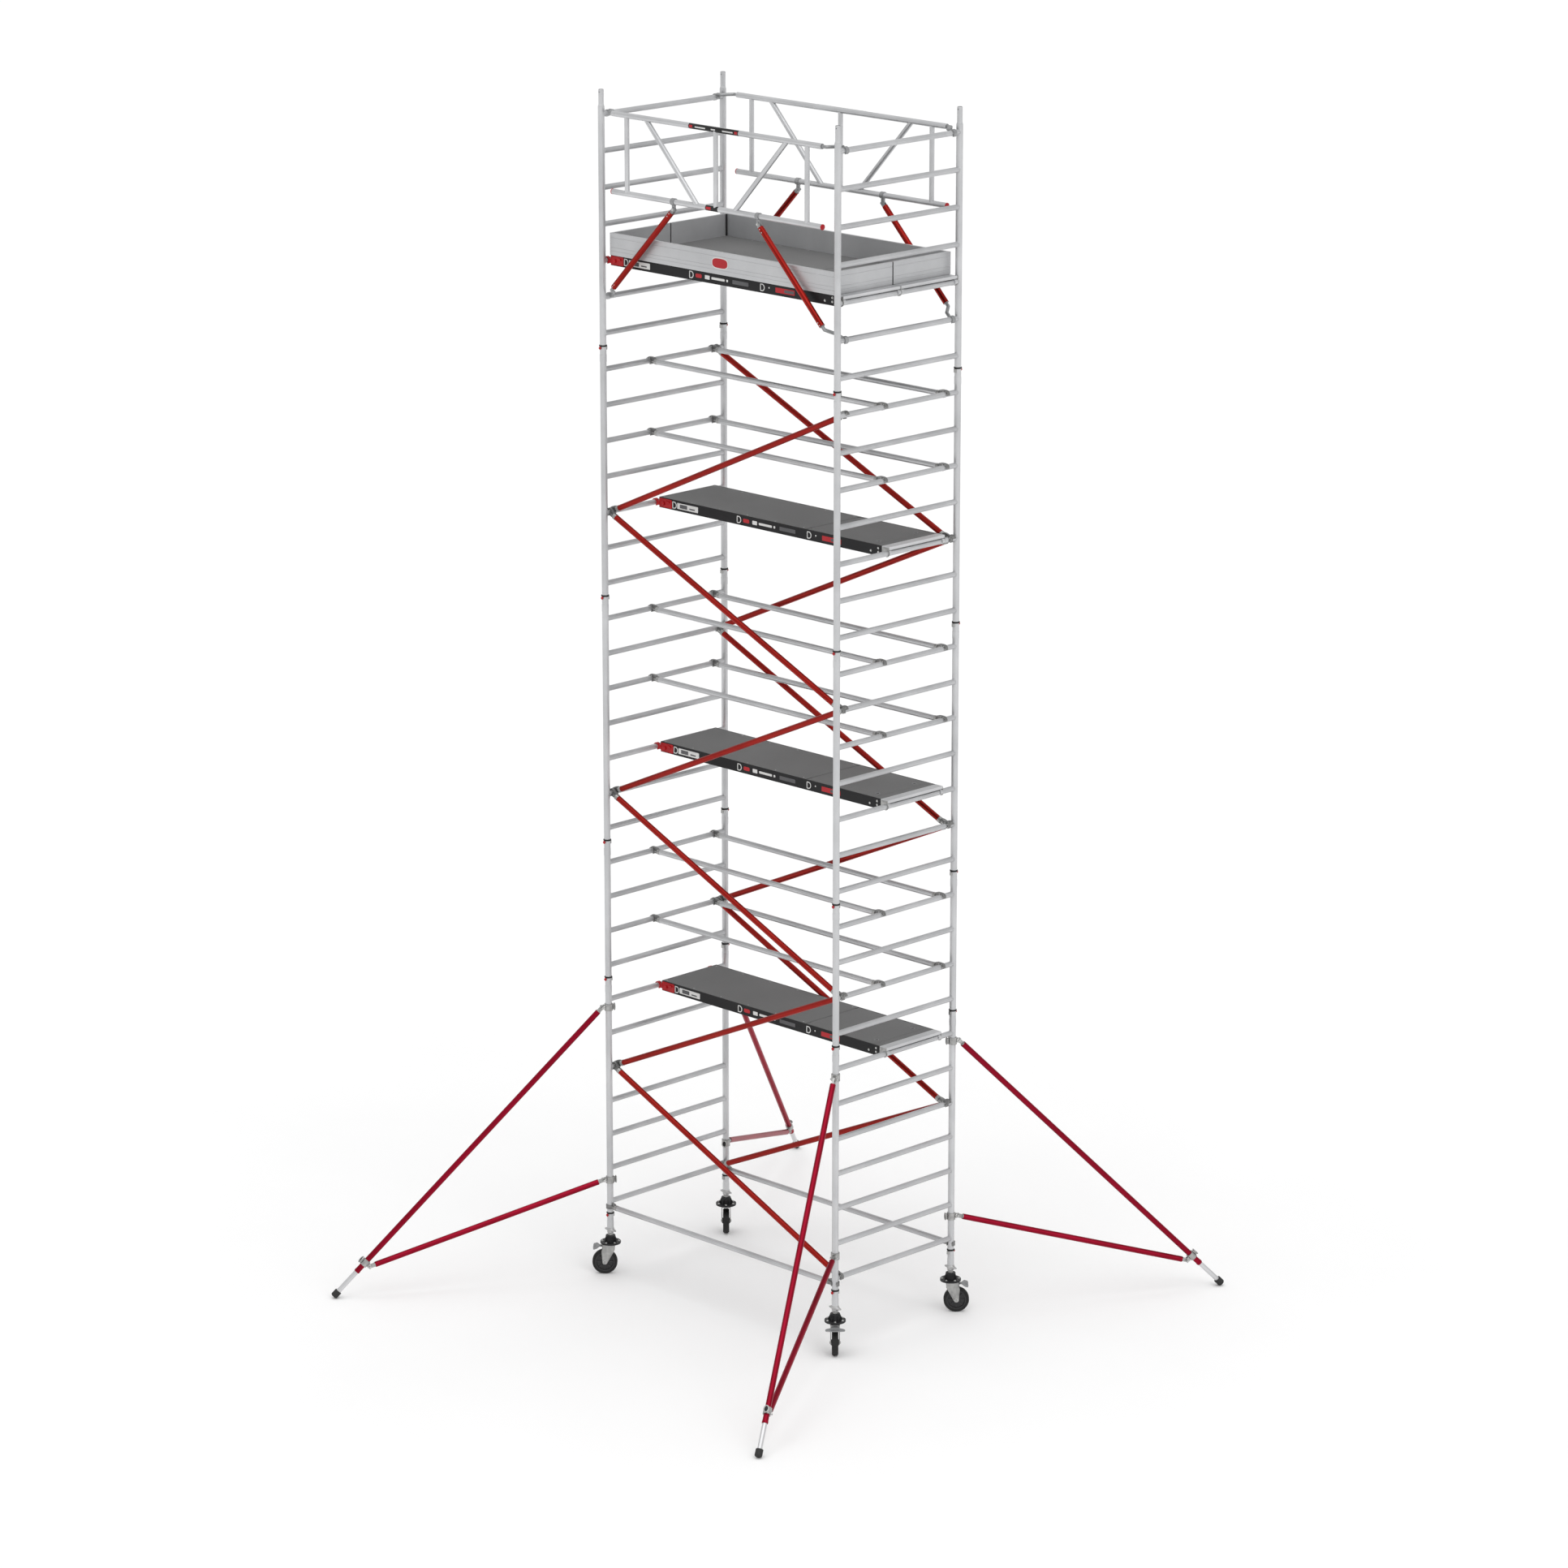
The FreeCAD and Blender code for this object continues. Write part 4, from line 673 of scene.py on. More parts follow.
def weld_bead():
    """Ring where a rung of radius r meets a post of radius R, for an angle a round the rung:
    (r cos a, -sqrt(R^2 - r^2 cos^2 a), r sin a)."""
    a = around(20)
    across, up = (RUNG_R + BEAD_LIFT) * np.cos(a), (RUNG_R + BEAD_LIFT) * np.sin(a)
    path = np.column_stack([across, -np.sqrt((POST_R + BEAD_LIFT) ** 2 - across ** 2), up])
    return swept(path, circle(BEAD_R, 6), ring=True, up=(0, 1, 0))


bead = weld_bead()
for side_name, sx in (("left", -1), ("right", 1)):
    spots = [at((sx * HALF_X, sy * HALF_Y, rung_z(n)), (sy, 0, 0))
             for n in range(1, RUNGS + 1) for sy in (-1, 1)]
    make_piece(f"{side_name}_weld_beads", copies(bead, spots), "frame_tube", crease=60)
print("weld beads:", 4 * RUNGS)

# %% [markdown]
# ## Frame joints
# Where one frame stands on the next, a black band carries a spring clip. A small red button on the
# band shows that the clip is closed. Two thin rings mark the swaged end of the tube.

# %% Clip buttons and swage rings
FRAME_RUNGS = (7, 4, 7, 7, 7)
BELOW_RUNG = 0.219
BAND_RISE = 0.108
SWAGE_RISES = (0.075, 0.150)
foot_heights = [FIRST_RUNG - BELOW_RUNG + RUNG_PITCH * sum(FRAME_RUNGS[:i]) for i in range(5)]
button = joined([prism(rounded(0.020, 0.013, 0.004), 0, 0.008),
                 prism(rounded(0.010, 0.026, 0.004), 0.002, 0.006)])
swage = turned([(POST_R - 0.001, -0.0012), (POST_R + 0.0007, -0.0008), (POST_R + 0.0007, 0.0008),
                (POST_R - 0.001, 0.0012)], 32)
posts = [(sx * HALF_X, sy * HALF_Y, sx, sy) for sx, sy in CORNERS.values()]
button_spots = [facing_y((x, y + sy * (POST_R + 0.004), z + BAND_RISE), sy)
                for x, y, sx, sy in posts for z in foot_heights]
swage_spots = [at((x, y, z + rise)) for x, y, _, _ in posts for z in foot_heights for rise in SWAGE_RISES]
make_piece("clip_buttons", copies(button, button_spots), "wind_lock_red", crease=40)
make_piece("post_swage_rings", copies(swage, swage_spots), "frame_tube", crease=40)
print("clip buttons:", len(button_spots))

# %% [markdown]
# ## Brace ends
# Every brace ends in a sprung claw that snaps round a rung. The frame holds the hook; here it gets the
# sliding latch on top with its finger ridges, and the pressed ferrule that ties the hook to the tube.

# %% Latches and ferrules
RAIL_RUNGS = (9, 11, 16, 18, 23, 25)
DIAGONAL_RUNGS = (1, 5, 9, 13, 17, 21, 25)
RAIL_R = 0.021
DIAGONAL_R = 0.0225
CLAW_NECK = 0.062
CLAW_STEP = 0.017
DIAGONAL_Y = HALF_Y - POST_R - 0.009 - 0.016 - CLAW_STEP
RAIL_Y = (-0.150, DIAGONAL_Y - CLAW_STEP - DIAGONAL_R - RAIL_R - 0.0015)
CLAW_OUT = 0.0295
CLAW_CHEEK = 0.0158
NECK_CHEEK = 0.0128


def brace_lines():
    """Both ends of every brace, and the radius of its tube."""
    lines = [((-HALF_X, y, rung_z(n)), (HALF_X, y, rung_z(n)), RAIL_R) for n in RAIL_RUNGS for y in RAIL_Y]
    for face in (-1, 1):
        z = FIRST_RUNG - 0.043
        lines.append(((-HALF_X, face * HALF_Y, z), (HALF_X, face * HALF_Y, z), RAIL_R))
        for i, (lower, upper) in enumerate(zip(DIAGONAL_RUNGS, DIAGONAL_RUNGS[1:])):
            low_is_right = (i % 2 == 0) == (face == -1)
            left, right = (upper, lower) if low_is_right else (lower, upper)
            y = face * (DIAGONAL_Y + (CLAW_STEP if i % 2 == 0 else -CLAW_STEP))
            lines.append(((-HALF_X, y, rung_z(left)), (HALF_X, y, rung_z(right)), DIAGONAL_R))
    return lines


def ferrule(radius):
    """Pressed collar round the end of a tube, with two shallow sunken rings."""
    root, rim, groove = radius - 0.001, radius + 0.0014, radius + 0.0007
    profile = [(root, 0), (rim, 0.001), (rim, 0.009), (groove, 0.010), (rim, 0.011), (rim, 0.018),
               (groove, 0.019), (rim, 0.020), (rim, 0.026), (root, 0.027)]
    return turned(profile, 20)


def latch():
    """Sprung lever on the claw, from over the hook to the tube: its top bulges as a root of a sine, sinks
    slowly and carries finger ridges, sin(8 pi s) ^ 2, over its second half."""
    x = np.linspace(-0.012, 0.060, 30)
    share = (x - x[0]) / (x[-1] - x[0])
    ridge = np.where(share > 0.45, np.sin((share - 0.45) * 8 * np.pi) ** 2, 0.0)
    bulge = 0.0055 * np.sin(np.pi * np.clip(share * 1.1, 0, 1)) ** 0.5
    top = CLAW_OUT + bulge - 0.004 * share + 0.0014 * ridge
    outline = np.concatenate([np.column_stack([x, np.full(30, 0.012)]), np.column_stack([x, top])[::-1]])
    return stood_up(prism(outline, -0.0085, 0.0085))


def claw_boss():
    """Pin heads on both cheeks of the hook, at its crown and its back, and a rib on each side of its neck."""
    boss = turned([(0.0044, 0), (0.0044, 0.0020), (0.0034, 0.0030), (0.0008, 0.0033)], 12)
    rib = prism(rounded(0.026, 0.006, 0.0025), 0, 0.0022)
    crown = CLAW_OUT - 0.0040
    made = []
    for side in (-1, 1):
        for turn in (math.radians(62), math.radians(118), math.radians(180)):
            spot = (crown * math.cos(turn), side * CLAW_CHEEK, crown * math.sin(turn))
            made.append(placed(boss, at(spot, (1, 0, 0), (0, side, 0))))
        made.append(placed(rib, facing_y((0.040, side * NECK_CHEEK, 0), side)))
    return joined(made)


latch_spots = []
ferrules = []
for start, end, radius in brace_lines():
    for a, b in ((start, end), (end, start)):
        way = np.subtract(b, a) / np.linalg.norm(np.subtract(b, a))
        up = np.cross(way, (0, 1, 0))
        latch_spots.append(at(a, way, up * np.sign(up[2])))
        ferrules.append(placed(ferrule(radius), at(np.add(a, way * (CLAW_NECK - 0.002)), (0, 1, 0), way)))
make_piece("claw_latches", copies(latch(), latch_spots), "latch_steel", "zinc_fitting", crease=40)
make_piece("claw_bosses", copies(claw_boss(), latch_spots), "bolt_steel", "zinc_fitting", crease=40)
make_piece("brace_ferrules", joined(ferrules), "zinc_fitting", crease=30)
print("claws:", len(latch_spots))

# %% [markdown]
# ## Platform marks and bolts
# The black beams carry printed marks: D-shaped signs where a hand may lift, a white plate, plain bars
# and a dark red plate. They are thin plates with round corners and hold no lettering.

# %% Plates on a beam
DECK_RISE = 0.050
BEAM_HEIGHT = 0.082
PLATFORM_HALF = 0.300
DECK_HALF = 1.200
PLATE = 0.0008
platforms = [("1", 0.19, 7), ("2", 0.19, 14), ("3", 0.19, 21), ("4_front", -0.305, 28), ("4_back", 0.305, 28)]


def plate(x, z, width, height, radius=0.004, rise=PLATE):
    """Flat plate with round corners, facing +Z of its own frame, centred at (x, z)."""
    return prism(rounded(width, height, radius) + [x, z], 0, rise)


def lift_sign(x, z):
    """D-shaped ring: straight on its left, a half circle on its right."""
    t = np.linspace(-np.pi / 2, np.pi / 2, 14)
    bow = np.column_stack([-0.002 + 0.022 * np.cos(t), 0.024 * np.sin(t)])
    straight = np.column_stack([np.full(6, -0.020), np.linspace(0.024, -0.024, 6)])
    path = np.concatenate([bow, straight])
    path = np.column_stack([path + [x, z], np.full(len(path), PLATE)])
    section = [(-0.0035, -PLATE), (0.0035, -PLATE), (0.0035, PLATE), (-0.0035, PLATE)]
    return swept(path, section, ring=True)


def plates(*sizes):
    return joined([plate(*size) for size in sizes])


white_marks = plates((-0.885, 0, 0.230, 0.046), (-0.150, 0, 0.050, 0.030), (-0.035, 0, 0.140, 0.018),
                     (0.062, 0, 0.018, 0.018), (0.505, 0.006, 0.012, 0.012, 0.0059))
red_marks = plates((-0.243, 0, 0.066, 0.030, 0.010), (0.672, 0, 0.200, 0.038))
grey_marks = plates((0.203, 0, 0.170, 0.030), (0.715, 0, 0.100, 0.022, 0.004, 2 * PLATE),
                    (-0.930, 0, 0.080, 0.030, 0.004, 2 * PLATE),
                    (-0.835, -0.006, 0.060, 0.010, 0.002, 2 * PLATE))
signs = joined([lift_sign(x, 0) for x in (-1.030, -0.320, 0.435)])
bolt_places = ((1.085, -0.012), (1.162, -0.012), (1.162, 0.018))
end_bolts = copies(bolt_head(), [at((x, z, 0)) for x, z in bolt_places])
side_frames = []
for _, y, rung in platforms:
    z = rung_z(rung) + DECK_RISE - BEAM_HEIGHT / 2
    side_frames.append(facing_y((0, y - PLATFORM_HALF, z), -1))
    side_frames.append(at((0, y + PLATFORM_HALF, z), (-1, 0, 0), (0, 1, 0)))
for name, shape, look in (
        ("white_plates", white_marks, "plate_white"), ("red_plates", red_marks, "plate_red"),
        ("grey_plates", grey_marks, "plate_grey"), ("lift_signs", signs, "plate_white")):
    make_piece(f"beam_{name}", copies(shape, side_frames), look, "black_beam", crease=40)


def on_beams(shape):
    """Copies on both sides of every platform, all with their X towards the same end of the tower."""
    return joined([placed(shape, m) if m[0, 0] > 0 else mirrored(shape, m) for m in side_frames])


make_piece("beam_end_bolts", on_beams(end_bolts), "bolt_steel", "zinc_fitting", crease=30)
print("beam sides marked:", len(side_frames))

# %% [markdown]
# ## Wind locks and end hooks
# At one end a red catch swings under the rung so that wind can't lift the platform. Its body is a
# rounded plate on the beam with a knob. At the other end the hooks are castings on a channel, so they
# get ribs and rivets.

# %% Wind-lock bodies
LOCK_X = -1.128
LOCK_THICK = 0.004


def lock_body():
    """Plate with round corners, a raised rim, a turned knob and a thumb tab."""
    base = plate(LOCK_X, 0, 0.140, 0.070, 0.012, LOCK_THICK)
    rim = np.column_stack([rounded(0.126, 0.056, 0.010) + [LOCK_X, 0], np.full(20, LOCK_THICK)])
    rim = swept(rim, circle(0.0018, 6), ring=True)
    knob = turned([(0.013, 0), (0.014, 0.002), (0.014, 0.009), (0.011, 0.012), (0.004, 0.0125)], 20)
    knob = placed(knob, at((-1.150, -0.004, LOCK_THICK)))
    tab = placed(prism(rounded(0.034, 0.016, 0.006), 0, 0.008), at((-1.100, 0.012, LOCK_THICK)))
    return joined([base, rim, knob, tab])


make_piece("wind_lock_bodies", on_beams(lock_body()), "wind_lock_red")


CHEEK_AIR = 0.0002


def hook_casting():
    """Rounded cheek on the outside of an end hook, in the XZ plane, with a strengthening rib."""
    t = np.linspace(np.pi, 2 * np.pi, 14)
    bow = np.column_stack([0.028 * np.cos(t), 0.028 * np.sin(t)])
    outline = np.concatenate([bow, [[0.022, 0.044], [-0.050, 0.044], [-0.050, -0.026]]])
    cheek = prism(outline, 0, 0.004)
    rib = prism(rounded(0.050, 0.005, 0.002) + [-0.012, 0.034], 0.004, 0.007)
    heads = [placed(rivet(0.0045, 0.0018), at((x, z, 0.004))) for x, z in ((-0.040, 0.020), (-0.040, -0.010))]
    return joined([cheek, rib, *heads])


cheeks = []
rib_spots = []
hook_rib = prism(rounded(0.006, 2 * PLATFORM_HALF - 0.03, 0.0025), 0, 0.0008)
for _, y, rung in platforms:
    near, far = y - PLATFORM_HALF - CHEEK_AIR, y + PLATFORM_HALF + CHEEK_AIR
    z = rung_z(rung)
    cheeks.append(placed(hook_casting(), facing_y((HALF_X, near, z), -1)))
    cheeks.append(mirrored(hook_casting(), at((HALF_X, far, z), (-1, 0, 0), (0, 1, 0))))
    rib_spots += [at((DECK_HALF + x, y, z + DECK_RISE)) for x in (0.018, 0.046)]
make_piece("end_hook_cheeks", joined(cheeks), "zinc_fitting")
make_piece("end_hook_ribs", copies(hook_rib, rib_spots), "frame_tube")
print("hooks:", len(cheeks))

# %% [markdown]
# ## Deck screws and finger rings
# The boards are held to the beams by a row of countersunk screws on each side, and each trapdoor has
# two finger holes lined by a turned ring. The rings ride on their own trapdoor.

# %% Screws and rings
HATCH_START = 0.400
HATCH_FAR = 1.130
SCREW_ROW = 0.272
FINGER_ROW = 0.200
FINGER_INSET = 0.060
screw = turned([(0.0050, 0), (0.0048, 0.0004), (0.0022, 0.0004), (0.0018, 0.0001)], 12)
screw_spots = []
for name, y, rung in platforms:
    end = DECK_HALF - 0.03 if name == "4_front" else HATCH_START - 0.05
    along = np.linspace(-DECK_HALF + 0.03, end, 8 if name == "4_front" else 6)
    deck = rung_z(rung) + DECK_RISE
    screw_spots += [at((x, y + side * SCREW_ROW, deck)) for x in along for side in (-1, 1)]
make_piece("deck_screws", copies(screw, screw_spots), "bolt_steel", "zinc_fitting", crease=30)
ring = turned([(0.0135, -0.006), (0.0135, 0.0002), (0.0140, 0.0012), (0.0185, 0.0012), (0.0190, 0.0002),
               (0.0190, -0.0002), (0.0152, -0.0002), (0.0152, -0.006)][::-1], 28, ring=True)
for number, (name, y, rung) in enumerate([p for p in platforms if p[0] != "4_front"], 1):
    x, z = HATCH_FAR - FINGER_INSET, rung_z(rung) + DECK_RISE
    spots = [at((x, y + side * FINGER_ROW, z)) for side in (-1, 1)]
    make_piece(f"hatch_{number}_finger_rings", copies(ring, spots), "pedal_grey", body=f"hatch_{number}")
print("deck screws:", len(screw_spots))

# %% [markdown]
# ## Toe boards
# The boards round the top deck slot into plastic corner posts. The end boards fold on a dark hinge in
# their middle. A red oval badge with a plain border sits on the middle of each long board.

# %% Corner posts, hinge strips and badges
TOE_X = 1.193
TOE_Y = 0.620
TOE_LOW = rung_z(28) + DECK_RISE
TOE_HIGH = TOE_LOW + 0.170
TOE_CORNER = 0.027
TOE_HINGE = 0.011
BADGE_RISE = 0.085
strip = prism(rounded(0.010, 0.010, 0.003), TOE_LOW + 0.002, TOE_HIGH - 0.001)
strip_spots = [at((sx * (TOE_X - TOE_CORNER), sy * (TOE_Y - TOE_CORNER), 0)) for sx, sy in CORNERS.values()]
hinge_cover = turned([(0.0078, TOE_LOW + 0.001), (0.0078, TOE_HIGH - 0.004), (0.006, TOE_HIGH - 0.0005)], 16)
strips = copies(strip, strip_spots)
covers = copies(hinge_cover, [at((side * (TOE_X - TOE_HINGE), 0, 0)) for side in (-1, 1)])
make_piece("toe_board_corner_seals", joined([strips, covers]), "clip_plastic", crease=40)
corner_rivets = [facing_y((sx * (TOE_X - 0.012), sy * TOE_Y, TOE_LOW + h), sy)
                 for sx, sy in CORNERS.values() for h in (0.030, 0.085, 0.140)]
toe_rivets = copies(rivet(0.0042, 0.0014), corner_rivets)
make_piece("toe_board_rivets", toe_rivets, "bolt_steel", "zinc_fitting", crease=60)


def oval(width, height, low, high):
    """Plate with the outline of a flattened oval, |x|^3 + |y|^3 = 1, scaled to its width and height."""
    c, s = np.cos(around(40)), np.sin(around(40))
    x, y = (np.sign(v) * np.abs(v) ** (2 / 3) for v in (c, s))
    return prism(np.column_stack([x * width / 2, y * height / 2]), low, high)


badge_spots = [at((0, side * TOE_Y, TOE_LOW + BADGE_RISE), (-side, 0, 0), (0, side, 0)) for side in (-1, 1)]
border = oval(0.176, 0.088, 0, 0.0008)
badge = joined([oval(0.160, 0.072, 0.0008, 0.0016), prism(rounded(0.100, 0.018, 0.006), 0.0016, 0.0019)])
for name, shape, look in (("badge_borders", border, "plate_white"), ("badges", badge, "plate_red")):
    make_piece(f"toe_board_{name}", copies(shape, badge_spots), look, "toe_board_metal", crease=40)
print("toe boards from", round(TOE_LOW, 3), "to", round(TOE_HIGH, 3))

# %% [markdown]
# ## Guardrail frames
# The two guardrail frames hang on the outside of the tower. Their open tube ends have red plugs, printed
# sleeves wrap the middle of the rails, and rivets hold the bent hooks and the strut ends in place.

# %% Plugs, sleeves and rivets
GUARD_Y = 0.660
GUARD_HALF = 1.110
TOP_RAIL = rung_z(32) + 0.023
LOW_RAIL = TOP_RAIL - 0.593
STRUT_R = 0.0225
PLUG_R = RAIL_R + 0.0008
plug = turned([(0.018, -0.010), (RAIL_R, 0.0), (PLUG_R, 0.001), (PLUG_R, 0.007), (0.017, 0.010)], 24)
plug_spots = [at((sx * GUARD_HALF, sy * GUARD_Y, LOW_RAIL), (0, 1, 0), (sx, 0, 0))
              for sx, sy in CORNERS.values()]
make_piece("guardrail_end_plugs", copies(plug, plug_spots), "plate_red", "wind_lock_red", crease=40)


def rail_sleeve(x0, x1, lift, reach):
    """Shell on a rail's outer side: (x, -R cos a, R sin a) for |a| < reach, closed round its thickness."""
    a = np.linspace(-reach, reach, 14)
    arc = np.column_stack([-np.cos(a), np.sin(a)])
    section = np.concatenate([arc * (RAIL_R + lift), arc[::-1] * (RAIL_R + 0.0001)])
    grid = np.stack([np.column_stack([np.full(len(section), x), section]) for x in (x0, x1)])
    points, faces = grid_shape(grid)
    return points, [f[::-1] for f in faces]


SLEEVE_LIFT = 0.0006
BAR_LIFT = 0.0009
dark_sleeves = [(-0.270, 0.255, TOP_RAIL), (-0.094, 0.036, LOW_RAIL)]
light_bars = [(-0.200, -0.090, TOP_RAIL), (0.090, 0.200, TOP_RAIL), (-0.030, 0.015, TOP_RAIL)]
red_bars = [(-0.262, -0.228, TOP_RAIL), (0.216, 0.247, TOP_RAIL), (-0.085, -0.035, LOW_RAIL)]
for name, spans, lift, reach, look in (("dark_sleeves", dark_sleeves, SLEEVE_LIFT, 1.25, "clip_plastic"),
                                       ("light_bars", light_bars, BAR_LIFT, 0.22, "plate_white"),
                                       ("red_bars", red_bars, BAR_LIFT, 0.5, "plate_red")):
    made = []
    for x0, x1, z in spans:
        sleeve = rail_sleeve(x0, x1, lift, reach)
        made += [placed(sleeve, at((0, -GUARD_Y, z))), placed(sleeve, at((0, GUARD_Y, z), (-1, 0, 0)))]
    make_piece(f"rail_{name}", joined(made), look, "guard_tube", crease=40)

STRUT_HEAD = np.array([0.450, LOW_RAIL - 0.060])
STRUT_FOOT = np.array([1.112, rung_z(27) + 0.095])
strut_way = (STRUT_FOOT - STRUT_HEAD) / np.linalg.norm(STRUT_FOOT - STRUT_HEAD)
dots = [STRUT_HEAD + strut_way * 0.045, STRUT_HEAD + strut_way * 0.075, STRUT_FOOT - strut_way * 0.012,
        STRUT_FOOT - strut_way * 0.036]
rail_dots = [np.array([GUARD_HALF - inset, TOP_RAIL]) for inset in (0.012, 0.038)]
rivet_spots = [facing_y((sx * x, sy * (GUARD_Y + radius - 0.0004), z), sy)
               for sx, sy in CORNERS.values() for spots, radius in ((dots, STRUT_R), (rail_dots, RAIL_R))
               for x, z in spots]
rail_rivets = copies(rivet(0.0048, 0.0018), rivet_spots)
make_piece("guardrail_rivets", rail_rivets, "bolt_steel", "zinc_fitting", crease=60)
pivot_spots = [facing_y((sx * STRUT_HEAD[0], sy * (GUARD_Y + 0.013), STRUT_HEAD[1]), sy)
               for sx, sy in CORNERS.values()]
pivots = copies(bolt_head(1.1), pivot_spots)
make_piece("strut_pivot_bolts", pivots, "bolt_steel", "zinc_fitting", crease=30)
print("guardrail rivets:", len(rivet_spots))

# %% [markdown]
# ## Stabilisers
# Each stabiliser is clamped to its post by two hinged couplers. A coupler has an eye bolt with a nut and
# an oval folding grip, dark inside. These fittings ride on the stabiliser, so they swing with it.

# %% Coupler grips and bolts
BEARINGS = {"front_left": -120, "front_right": -60, "back_left": 120, "back_right": 60}
LOWER_Z = 0.787
JUNCTION = 2.745
ARM_END = 2.845
COUPLER_AIR = 0.0003
COUPLER_WALL = 0.008
GRIP_STAND = 0.013
ARM_R = 0.0225


def oval_grip():
    """Oval loop: centre line (a cos t, b sin t), with a round section."""
    t = around(28)
    path = np.column_stack([0.017 * np.cos(t), 0.026 * np.sin(t), 0 * t])
    return swept(path, circle(0.0052, 8), ring=True)


def grip_pad():
    """Cushion inside the loop: an oval of four rings whose height falls to nothing at the rim."""
    share = np.array([1.0, 0.92, 0.6, 0.2])
    rise = 0.004 * np.sqrt(1 - share ** 2 * 0.98)
    t = around(24)
    up = [np.column_stack([0.015 * s * np.cos(t), 0.024 * s * np.sin(t), np.full(24, h)])
          for s, h in zip(share, rise)]
    down = [u * [1, 1, -1] for u in up[::-1]]
    return grid_shape(np.stack(down + up))


def coupler_frame(height, tube_r):
    """Places on a coupler round an upright tube: its grip behind the ring, its nut and its pin ends."""
    back = tube_r + COUPLER_AIR + COUPLER_WALL + GRIP_STAND
    grip = at((-back, 0, height), (0, 1, 0), (-1, 0, 0))
    nuts = [facing_y((PIN_X, side * 0.0235, height), side) for side in (-1, 1)]
    pins = [facing_y((0.040, side * 0.0135, height + rise), side)
            for side in (-1, 1) for rise in (-0.009, 0.009)]
    return [grip], nuts + pins


down = np.array([math.cos(SLOPE), 0, -math.sin(SLOPE)])
square = np.array([-math.sin(SLOPE), 0, -math.cos(SLOPE)])
pivot = np.array([PIN_X, 0, UPPER_Z])
junction = pivot + down * JUNCTION
ring_frame = at(junction, square, -down)
grips = []
heads = []
for height in (UPPER_Z, LOWER_Z):
    grip_frames, bolt_frames = coupler_frame(height, POST_R)
    grips += grip_frames
    heads += bolt_frames
grip_frames, bolt_frames = coupler_frame(0.0, ARM_R)
grips += [ring_frame @ m for m in grip_frames]
heads += [ring_frame @ m for m in bolt_frames]
collar = turned([(ARM_R, 0), (ARM_R + 0.0016, 0.001), (ARM_R + 0.0016, 0.016), (ARM_R, 0.018)], 24)
collar_spots = [at(pivot + down * (ARM_END - 0.020), (0, 1, 0), down)]
for corner, (sx, sy) in CORNERS.items():
    to_corner = facing(math.radians(BEARINGS[corner]), sx * HALF_X, sy * HALF_Y)
    body = f"stabiliser_{corner}"
    for part, shape, spots, look, slot, crease in (
            ("grips", oval_grip(), grips, "zinc_fitting", None, 60),
            ("grip_pads", grip_pad(), grips, "clip_plastic", None, 60),
            ("bolts", bolt_head(), heads, "bolt_steel", "zinc_fitting", 30),
            ("end_collar", collar, collar_spots, "crimson_tube", None, 40)):
        make_piece(f"{body}_{part}", copies(shape, [to_corner @ m for m in spots]), look, slot, body, crease)
print("grips per stabiliser:", len(grips))

# %% [markdown]
# ## Casters
# A caster turns round the post's axis and rolls on its bolt. The frame gives its housing, fork, wheel and
# pedal; here the flange gets its bolts, the fork a pressed rim, the wheel its spokes, and the plain
# pedal is replaced by a curved one. Every piece is made in the caster's own frame, in which X points
# outwards, and is then turned to its corner.

# %% Caster pieces in their own frame
FLANGE_TOP = 0.270
PEDAL_X = 0.052
PEDAL_Z = 0.226
FORK_OUT = 0.035
FLANGE_BOLT_R = 0.066


def flange_bolts():
    spots = [at((FLANGE_BOLT_R * math.cos(a), FLANGE_BOLT_R * math.sin(a), FLANGE_TOP)) for a in around(6)]
    return copies(bolt_head(1.15), spots)


def housing_ribs():
    """Six upright ribs round the housing, each a thin plate whose foot runs out onto the flange."""
    outline = np.array([(0.036, 0), (0.056, 0), (0.0415, 0.040), (0.036, 0.044)]) + [0, FLANGE_TOP]
    rib = stood_up(prism(outline, -0.0022, 0.0022))
    return copies(rib, [facing(a) for a in around(6) + np.pi / 6])


def fork_rim():
    """Pressed edge along the outline of each cheek: a small section carried round the plate's border."""
    border = np.array([
        (-0.030, 0.242), (0.060, 0.242), (0.060, 0.222), (TRAIL + 0.022, AXLE_Z + 0.084),
        (TRAIL + 0.015, AXLE_Z), (TRAIL + 0.007, AXLE_Z - 0.012), (TRAIL - 0.007, AXLE_Z - 0.012),
        (TRAIL - 0.015, AXLE_Z), (-0.030, AXLE_Z + 0.106)])
    made = []
    for side in (-1, 1):
        path = np.column_stack([border[:, 0], np.full(len(border), side * (FORK_OUT + 0.0004)), border[:, 1]])
        made.append(swept(path, circle(0.0018, 6), ring=True, up=(0, 1, 0)))
    return joined(made)


def axle_washers():
    washer = turned([(0.0075, 0), (0.015, 0), (0.015, 0.0015), (0.0075, 0.0015)], 20)
    return joined([placed(washer, facing_y((TRAIL, side * FORK_OUT, AXLE_Z), side)) for side in (-1, 1)])


def wheel_spokes():
    """Eight spokes on each face of the hub, and a ring round the rim of the hub."""
    spoke = prism(rounded(0.036, 0.007, 0.003) + [0.048, 0], 0, 0.0085)
    ring = turned([(0.070, 0.000), (0.0735, 0.0), (0.0735, 0.012), (0.070, 0.012)][::-1], 32, ring=True)
    made = []
    for side in (-1, 1):
        face = facing_y((TRAIL, side * 0.008, AXLE_Z), side)
        made += [placed(spoke, face @ facing(a)) for a in around(8)]
        made.append(placed(ring, face))
    return joined(made)


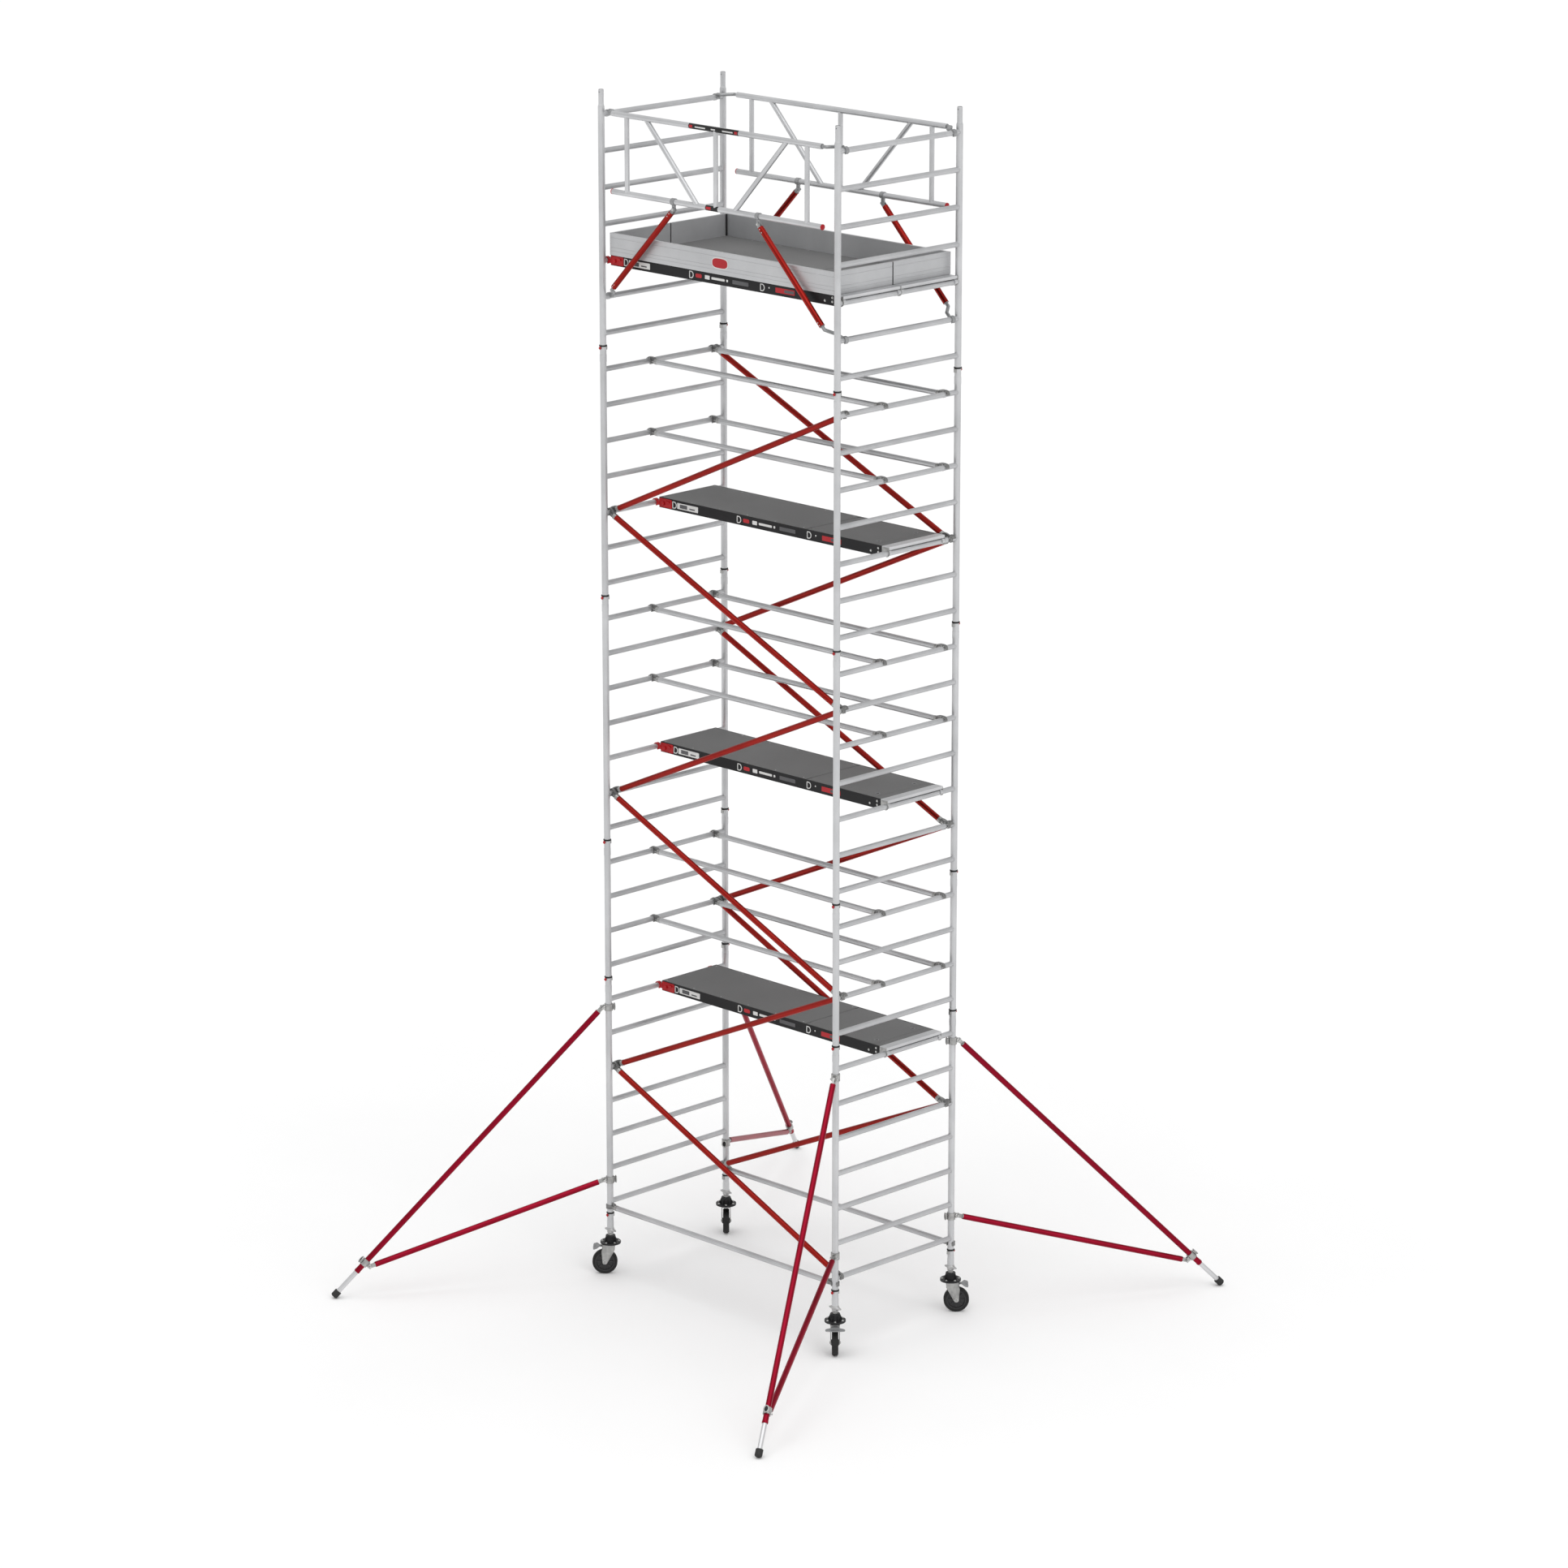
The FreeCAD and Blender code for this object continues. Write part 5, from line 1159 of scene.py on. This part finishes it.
def tread_rings():
    """Two low ribs round the tyre: half-round rings on its rolling face."""
    a = around(6)
    made = []
    for y in (-0.010, 0.010):
        ring = turned(np.column_stack([0.0985 + 0.0014 * np.cos(a), y + 0.0014 * np.sin(a)]), 48, ring=True)
        made.append(placed(ring, facing_y((TRAIL, 0, AXLE_Z))))
    return joined(made)


def pedal():
    """Curved two-lobed plate: half width w(u) and height h(u) along it, with rounded edges.
    u runs 0..1 from the pivot to the tip; h arches up and then droops, w narrows at the waist."""
    u = np.linspace(0, 1, 22)
    x = PEDAL_X + 0.004 + u * 0.083
    arch = PEDAL_Z - 0.001 + 0.0065 * np.sin(np.pi * np.minimum(u * 1.15, 1)) - 0.002 * u ** 3
    spread_out = np.clip((u - 0.30) / 0.40, 0, 1)
    waist = 0.004 * np.sin(np.pi * np.clip(u / 0.6, 0, 1))
    half = 0.026 - waist + 0.050 * spread_out ** 2 * (3 - 2 * spread_out)
    half *= np.sqrt(np.clip(1 - np.clip((u - 0.93) / 0.085, 0, 1) ** 2, 0.05, 1))
    t = around(24)
    c, s = np.cos(t), np.sin(t)
    across = np.sign(c) * np.abs(c) ** 0.35
    thick = 0.0035 * np.sign(s) * np.abs(s) ** 0.8
    x = np.broadcast_to(x[:, None], (22, 24))
    grid = np.stack([x, half[:, None] * across, arch[:, None] + thick], -1)
    blade = grid_shape(grid[:, ::-1])
    hub = turned([(0.00505, -0.030), (0.0085, -0.030), (0.0085, 0.030), (0.00505, 0.030)], 20, ring=True)
    hub = placed(hub, facing_y((PEDAL_X, 0, PEDAL_Z)))
    ridge = prism(rounded(0.003, 0.070, 0.0014), 0, 0.0016)
    ridges = [placed(ridge, at((PEDAL_X + 0.062 + 0.007 * i, 0, PEDAL_Z + 0.0052 - 0.0010 * i)))
              for i in range(3)]
    return joined([blade, hub, *ridges])


for corner, (sx, sy) in CORNERS.items():
    to_corner = facing(math.atan2(sy, sx), sx * HALF_X, sy * HALF_Y)
    name = f"caster_{corner}"
    for part, body, shape, look, slot in (
            ("flange_bolts", "spindle", flange_bolts(), "bolt_steel", "zinc_fitting"),
            ("housing_ribs", "spindle", housing_ribs(), "spindle_black", None),
            ("fork_rims", "fork", fork_rim(), "zinc_fitting", None),
            ("axle_washers", "fork", axle_washers(), "bolt_steel", "zinc_fitting"),
            ("wheel_spokes", "wheel", wheel_spokes(), "hub_plastic", "wheel_tyre"),
            ("tread_rings", "wheel", tread_rings(), "tread_rubber", "wheel_tyre")):
        make_piece(f"{name}_{part}", placed(shape, to_corner), look, slot, f"{name}_{body}")
    plain = f"{name}_brake_pedal"
    shaped = placed(pedal(), to_corner)
    shaped = make_piece(f"{name}_curved_pedal", shaped, "pedal_grey", body=plain, crease=50)
    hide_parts(plain)
print("casters dressed:", len(CORNERS))

# %% [markdown]
# ## Wing nuts
# The cast nut under each post has two curved wings. It is one closed surface: a turned collar whose
# radius swells into a wing on each side, strongest in the middle of its height.

# %% Cast wing nuts
NUT_BORE_R = 0.0208
WING_REACH = 0.0625


def wing_nut(bore, low_z, high_z):
    """Radius at angle t and height v: collar + (reach - collar) * |cos t|^12 * lobe(v), round a bore."""
    t = around(72)
    v = np.array([0.0, 0.04, 0.14, 0.28, 0.42, 0.55, 0.68, 0.80, 0.90, 0.97, 1.0])
    collar = 0.0265 + 0.004 * np.exp(-((v - 0.75) / 0.22) ** 2)
    collar[[0, -1]] -= 0.0015
    lobe = np.exp(-((v - 0.50) / 0.20) ** 4)
    radius = collar[:, None] + (WING_REACH - collar[:, None]) * np.abs(np.cos(t)) ** 12 * lobe[:, None]
    z = low_z + v * (high_z - low_z)
    z = np.broadcast_to(z[:, None], radius.shape)
    outside = np.stack([radius * np.cos(t), radius * np.sin(t), z], -1)
    hole = np.stack([np.column_stack([circle(bore, 72), np.full(72, h)]) for h in (high_z, low_z)])
    return grid_shape(np.concatenate([outside, hole]), wrap_rows=True)


nut_low, nut_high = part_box("wing_nuts")
nut_spots = [at((x, y, 0)) for x, y, _, _ in posts]
nuts = copies(wing_nut(NUT_BORE_R, nut_low.z, nut_high.z), nut_spots)
nuts = make_piece("cast_wing_nuts", nuts, "cast_nut")
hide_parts("wing_nuts")
print("wing nut height", round(nut_high.z - nut_low.z, 3))
